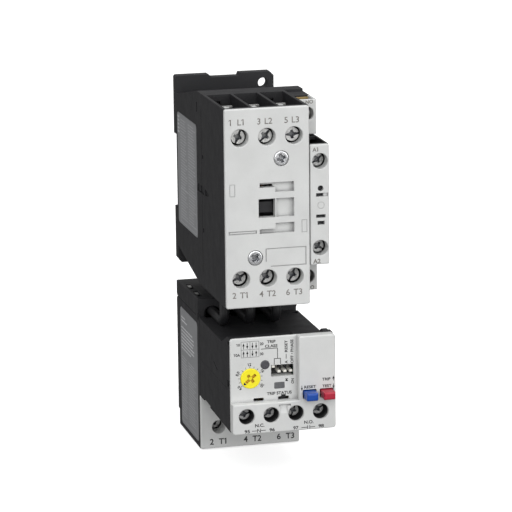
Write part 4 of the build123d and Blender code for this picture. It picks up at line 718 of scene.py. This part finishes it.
for tick in range(13):
    ray = dial_ray(TICK_START - tick * TICK_STEP)
    panel.bar(*(DIAL_CENTRE + ray * TICK_INNER), *(DIAL_CENTRE + ray * TICK_OUTER), TICK_WIDTH)
for words, tick in (("4.0", 0), ("8.0", 3), ("12", 6), ("16", 9), ("20", 12)):
    degrees = TICK_START - tick * TICK_STEP
    x, base = DIAL_CENTRE + dial_ray(degrees) * NUMBER_FOOT
    panel.text(words, x, base, 1.15, None, "centre", degrees - 90)
panel.lay("legend_dial_panel", FRONT, (0, -DIAL_PANEL, 0), "starter", INK_DARK)

# The dial's pointer: a triangle near the rim that aims at the lowest setting
POINTER_HEEL = 3.05
POINTER_TIP = 4.05
POINTER_HALF = 0.88
pointer = Print()
ray = dial_ray(TICK_START)
across = Vector((-ray.y, ray.x)) * POINTER_HALF
heel = DIAL_CENTRE + ray * POINTER_HEEL
pointer.prism([heel - across, DIAL_CENTRE + ray * POINTER_TIP, heel + across])
pointer.lay("dial_pointer", FRONT, (0, -DIAL_FACE, 0), "dial", INK_NAVY)

# Lever panel and signalling terminals
LEVER_CAP = 1.15
SIGNAL_ROW = -94.5
SIGNAL_CAP = 1.3
SIGNAL_NUMBER_WIDTH = 2.35
SIGNAL_WORD_WIDTH = 4.1
levers = Print()
for words, x, base, width in (
    ("TRIP", 16.5, -74.1, 3.65),
    ("TEST", 16.6, -77.05, 3.95),
    ("RESET", 8.6, -76.95, 5.2),
):
    levers.text(words, x, base, LEVER_CAP, width)
for x, tail, tip in ((21.45, -74.4, -72.2), (21.45, -75.75, -77.95), (7.6, -75.6, -77.95)):
    levers.arrow(x, tail, tip)
for words, x in (("95", -16.37), ("96", -5.55), ("97", 4.86), ("98", 15.93)):
    levers.text(words, x, SIGNAL_ROW, SIGNAL_CAP, SIGNAL_NUMBER_WIDTH, "centre")
for words, x, base in (("N.C.", -10.9, -92.2), ("N.O.", 10.55, -92.4)):
    levers.text(words, x, base, SIGNAL_CAP, SIGNAL_WORD_WIDTH, "centre")

# Contact symbols: a closed contact between 95 and 96, an open one between 97 and 98
CLOSED_LINE = -93.85
CLOSED_LEFT, CLOSED_RIGHT = -11.85, -10.6
CLOSED_LOW, CLOSED_HIGH = -94.55, -93.15
OPEN_LINE = -94.0
OPEN_LEFT, OPEN_RIGHT = 10.0, 10.95
OPEN_LOW, OPEN_HIGH = -94.75, -93.2
levers.bar(-14.3, CLOSED_LINE, CLOSED_LEFT, CLOSED_LINE, FINE)
levers.bar(CLOSED_RIGHT, CLOSED_LINE, -8.3, CLOSED_LINE, FINE)
levers.path(
    (
        (CLOSED_LEFT, CLOSED_LOW),
        (CLOSED_LEFT, CLOSED_HIGH),
        (CLOSED_RIGHT, CLOSED_LOW),
        (CLOSED_RIGHT, CLOSED_HIGH),
    ),
    FINE,
)
levers.bar(7.25, OPEN_LINE, OPEN_LEFT, OPEN_LINE, FINE)
levers.bar(OPEN_RIGHT, OPEN_LINE, 13.3, OPEN_LINE, FINE)
for x in (OPEN_LEFT, OPEN_RIGHT):
    levers.bar(x, OPEN_LOW, x, OPEN_HIGH, FINE)
levers.lay("legend_lever_panel", FRONT, (0, -LEVER_PANEL, 0), "starter", INK_DARK)

# Motor terminals
MOTOR_ROW = -116.95
MOTOR_CAP = 2.5
MOTOR_BOLD = 0.02
NUMBER_TO_NAME = 4.1
motor = Print()
for number, name, x in (("2", "T1", -18.5), ("4", "T2", -3.1), ("6", "T3", 12.2)):
    motor.text(number, x, MOTOR_ROW, MOTOR_CAP, bold=MOTOR_BOLD)
    motor.text(name, x + NUMBER_TO_NAME, MOTOR_ROW, MOTOR_CAP, bold=MOTOR_BOLD)
motor.lay("legend_motor_plate", FRONT, (0, -MOTOR_PLATE, 0), "starter", INK_PLATE)


# ---------------------------------------------------------------- side labels: ruled rows with no wording
ROW_PITCH = 1.3
ROW_HEIGHT = 0.34
# Length of one broken stroke, how much longer the longest is, and the gap after it
STROKE_LEAST = 0.9
STROKE_SPREAD = 2.4
STROKE_GAP = 0.4
# Each row fills at least this share of its column
ROW_LEAST = 0.6
BOX_MARGIN = 0.7
BOX_SHARE = 0.3
BOX_LINE = 0.14


def label_rows(name, columns, low, high):
    """Fine broken rows in columns on the left side face, with a ruled box round the lowest of them."""
    sheet = Print()
    for near, far in columns:
        height = high
        while height > low:
            reach = near + (far - near) * (ROW_LEAST + (1 - ROW_LEAST) * random.random())
            x = near
            while x < reach:
                step = STROKE_LEAST + STROKE_SPREAD * random.random()
                sheet.bar(x, height, min(x + step, reach), height, ROW_HEIGHT)
                x += step + STROKE_GAP
            height -= ROW_PITCH
    near, far = columns[0][0] - BOX_MARGIN, columns[-1][1] + BOX_MARGIN
    box_top = low + (high - low) * BOX_SHARE
    sheet.hollow(near, far, low - ROW_PITCH, box_top + ROW_PITCH / 2, BOX_LINE)
    sheet.lay(name, LEFT_SIDE, (LABEL_FACE, 0, 0), "starter", INK_LABEL)


label_rows("label_contactor_rows", ((13.0, 26.5), (28.0, 42.0)), -20.5, 24.5)
label_rows("label_relay_rows", ((8.5, 20.5), (22.0, 38.0)), -113.5, -85.0)

# Contactor label: two columns of dots
DOT_TOP = 25.2
DOT_PITCH = 1.7
DOT_RADIUS = 0.5
contactor_marks = Print()
for row in range(5):
    for x in (8.6, 10.4):
        contactor_marks.disc(x, DOT_TOP - DOT_PITCH * row, DOT_RADIUS)
contactor_marks.lay("label_contactor_marks", LEFT_SIDE, (LABEL_FACE, 0, 0), "starter", INK_LABEL_BRIGHT)

# Relay label: rules that start level and end unevenly, with one row left empty
MARK_LEFT = 8.5
MARK_TOP = -66.5
MARK_PITCH = 1.6
MARK_HEIGHT = 0.42
relay_marks = Print()
for row, end in enumerate((16.0, 19.5, None, 30.0, 32.5, 33.0, 31.0, 33.5, 33.0, 27.0)):
    height = MARK_TOP - MARK_PITCH * row
    if end:
        relay_marks.bar(MARK_LEFT, height, end, height, MARK_HEIGHT)
relay_marks.lay("label_relay_marks", LEFT_SIDE, (LABEL_FACE, 0, 0), "starter", INK_LABEL_BRIGHT)


# ---------------------------------------------------------------- floor, backdrop and lights
# Metres: the floor lies just under the relay's terminal plate
FLOOR_HEIGHT = -0.1193
FLOOR_RADIUS = 1.9
FLOOR_STEPS = 6
BEND_RADIUS = 0.8
BEND_STEPS = 12
WALL_TOP = 3.2
STAGE_SIDES = 96
# The paper gives off this much light of its own, so it stays even
PAPER_GLOW = 0.62


def make_stage():
    """Round pale floor that curves up all round into a wall, lit evenly like a light table."""
    profile = [(FLOOR_RADIUS * step / FLOOR_STEPS, FLOOR_HEIGHT) for step in range(1, FLOOR_STEPS + 1)]
    for step in range(1, BEND_STEPS + 1):
        angle = math.pi / 2 * step / BEND_STEPS
        out = FLOOR_RADIUS + BEND_RADIUS * math.sin(angle)
        profile.append((out, FLOOR_HEIGHT + BEND_RADIUS * (1 - math.cos(angle))))
    profile.append((FLOOR_RADIUS + BEND_RADIUS, WALL_TOP))
    mesh = bmesh.new()
    centre = mesh.verts.new((0, 0, FLOOR_HEIGHT))
    rings = []
    for radius, up in profile:
        ring = []
        for i in range(STAGE_SIDES):
            angle = 2 * math.pi * i / STAGE_SIDES
            ring.append(mesh.verts.new((radius * math.cos(angle), radius * math.sin(angle), up)))
        rings.append(ring)
    for i in range(STAGE_SIDES):
        j = (i + 1) % STAGE_SIDES
        mesh.faces.new((centre, rings[0][i], rings[0][j]))
        for inner, outer in zip(rings, rings[1:]):
            mesh.faces.new((inner[i], outer[i], outer[j], inner[j]))
    for face in mesh.faces:
        face.smooth = True
    data = bpy.data.meshes.new("floor")
    mesh.to_mesh(data)
    mesh.free()
    n = Nodes("floor_paper")
    base = n.mix(n.remap(n.noise(300.0), 0.3, 0.7, 0.0, 1.0), (0.8, 0.8, 0.8), (0.84, 0.84, 0.84))
    n.feed((1.0, 1.0, 1.0), n.shader.inputs["Emission Color"])
    n.shader.inputs["Emission Strength"].default_value = PAPER_GLOW
    data.materials.append(n.finish(base, 0.85, Specular_IOR_Level=0.0))
    floor = bpy.data.objects.new("floor", data)
    scene.collection.objects.link(floor)
    floor.visible_glossy = False
    floor.visible_diffuse = False
    floor.visible_shadow = False


# Lamps, all aimed at one point: name, place in metres, width and height, power in watts
LAMP_AIM = (0.0, -0.05, -0.04)
LAMPS = (
    ("key_right", (0.8, -1.2, 0.3), (0.8, 1.0), 6.5),
    ("front_soft", (-0.4, -1.5, 0.5), (1.2, 1.2), 12.0),
    ("fill_left", (-1.0, -0.75, 0.3), (0.7, 0.9), 1.6),
    ("side_left", (-1.2, 0.1, 0.1), (0.6, 0.9), 2.6),
    ("top_soft", (0.1, -0.2, 1.1), (0.8, 0.6), 4.0),
)


def area_light(name, place, size, power):
    """Rectangular lamp turned towards the common aim."""
    lamp = bpy.data.lights.new(name, "AREA")
    lamp.shape = "RECTANGLE"
    lamp.size, lamp.size_y = size
    lamp.energy = power
    holder = bpy.data.objects.new(name, lamp)
    scene.collection.objects.link(holder)
    holder.location = place
    holder.rotation_euler = (Vector(LAMP_AIM) - Vector(place)).to_track_quat("-Z", "Y").to_euler()


# Strength of the surroundings behind the object, in front of it and, added to both, overhead
WORLD_BACK = 0.16
WORLD_FRONT = 0.24
WORLD_TOP = 0.5


def make_world():
    """Soft surroundings: brighter in front and overhead, dim behind the object."""
    world = bpy.data.worlds.new("studio")
    scene.world = world
    world.use_nodes = True
    tree = world.node_tree
    coords = tree.nodes.new("ShaderNodeTexCoord")
    parts = tree.nodes.new("ShaderNodeSeparateXYZ")
    tree.links.new(coords.outputs["Generated"], parts.inputs["Vector"])
    add = tree.nodes.new("ShaderNodeMath")
    add.operation = "ADD"
    ramps = (("Y", 0.5, -0.9, WORLD_BACK, WORLD_FRONT), ("Z", 0.0, 0.9, 0.0, WORLD_TOP))
    for term, (axis, low, high, start, end) in zip(add.inputs, ramps):
        remap = tree.nodes.new("ShaderNodeMapRange")
        remap.interpolation_type = "SMOOTHSTEP"
        tree.links.new(parts.outputs[axis], remap.inputs["Value"])
        for key, value in zip(("From Min", "From Max", "To Min", "To Max"), (low, high, start, end)):
            remap.inputs[key].default_value = value
        tree.links.new(remap.outputs["Result"], term)
    background = tree.nodes["Background"]
    tree.links.new(add.outputs["Value"], background.inputs["Strength"])
    background.inputs["Color"].default_value = (1.0, 1.0, 1.0, 1.0)


def make_light():
    """Large soft lamps: one from each side of the front, one on the left side and one above."""
    for lamp in LAMPS:
        area_light(*lamp)
    make_world()
    scene.view_settings.view_transform = "Standard"
    scene.view_settings.look = "None"


make_camera()
make_stage()
make_light()
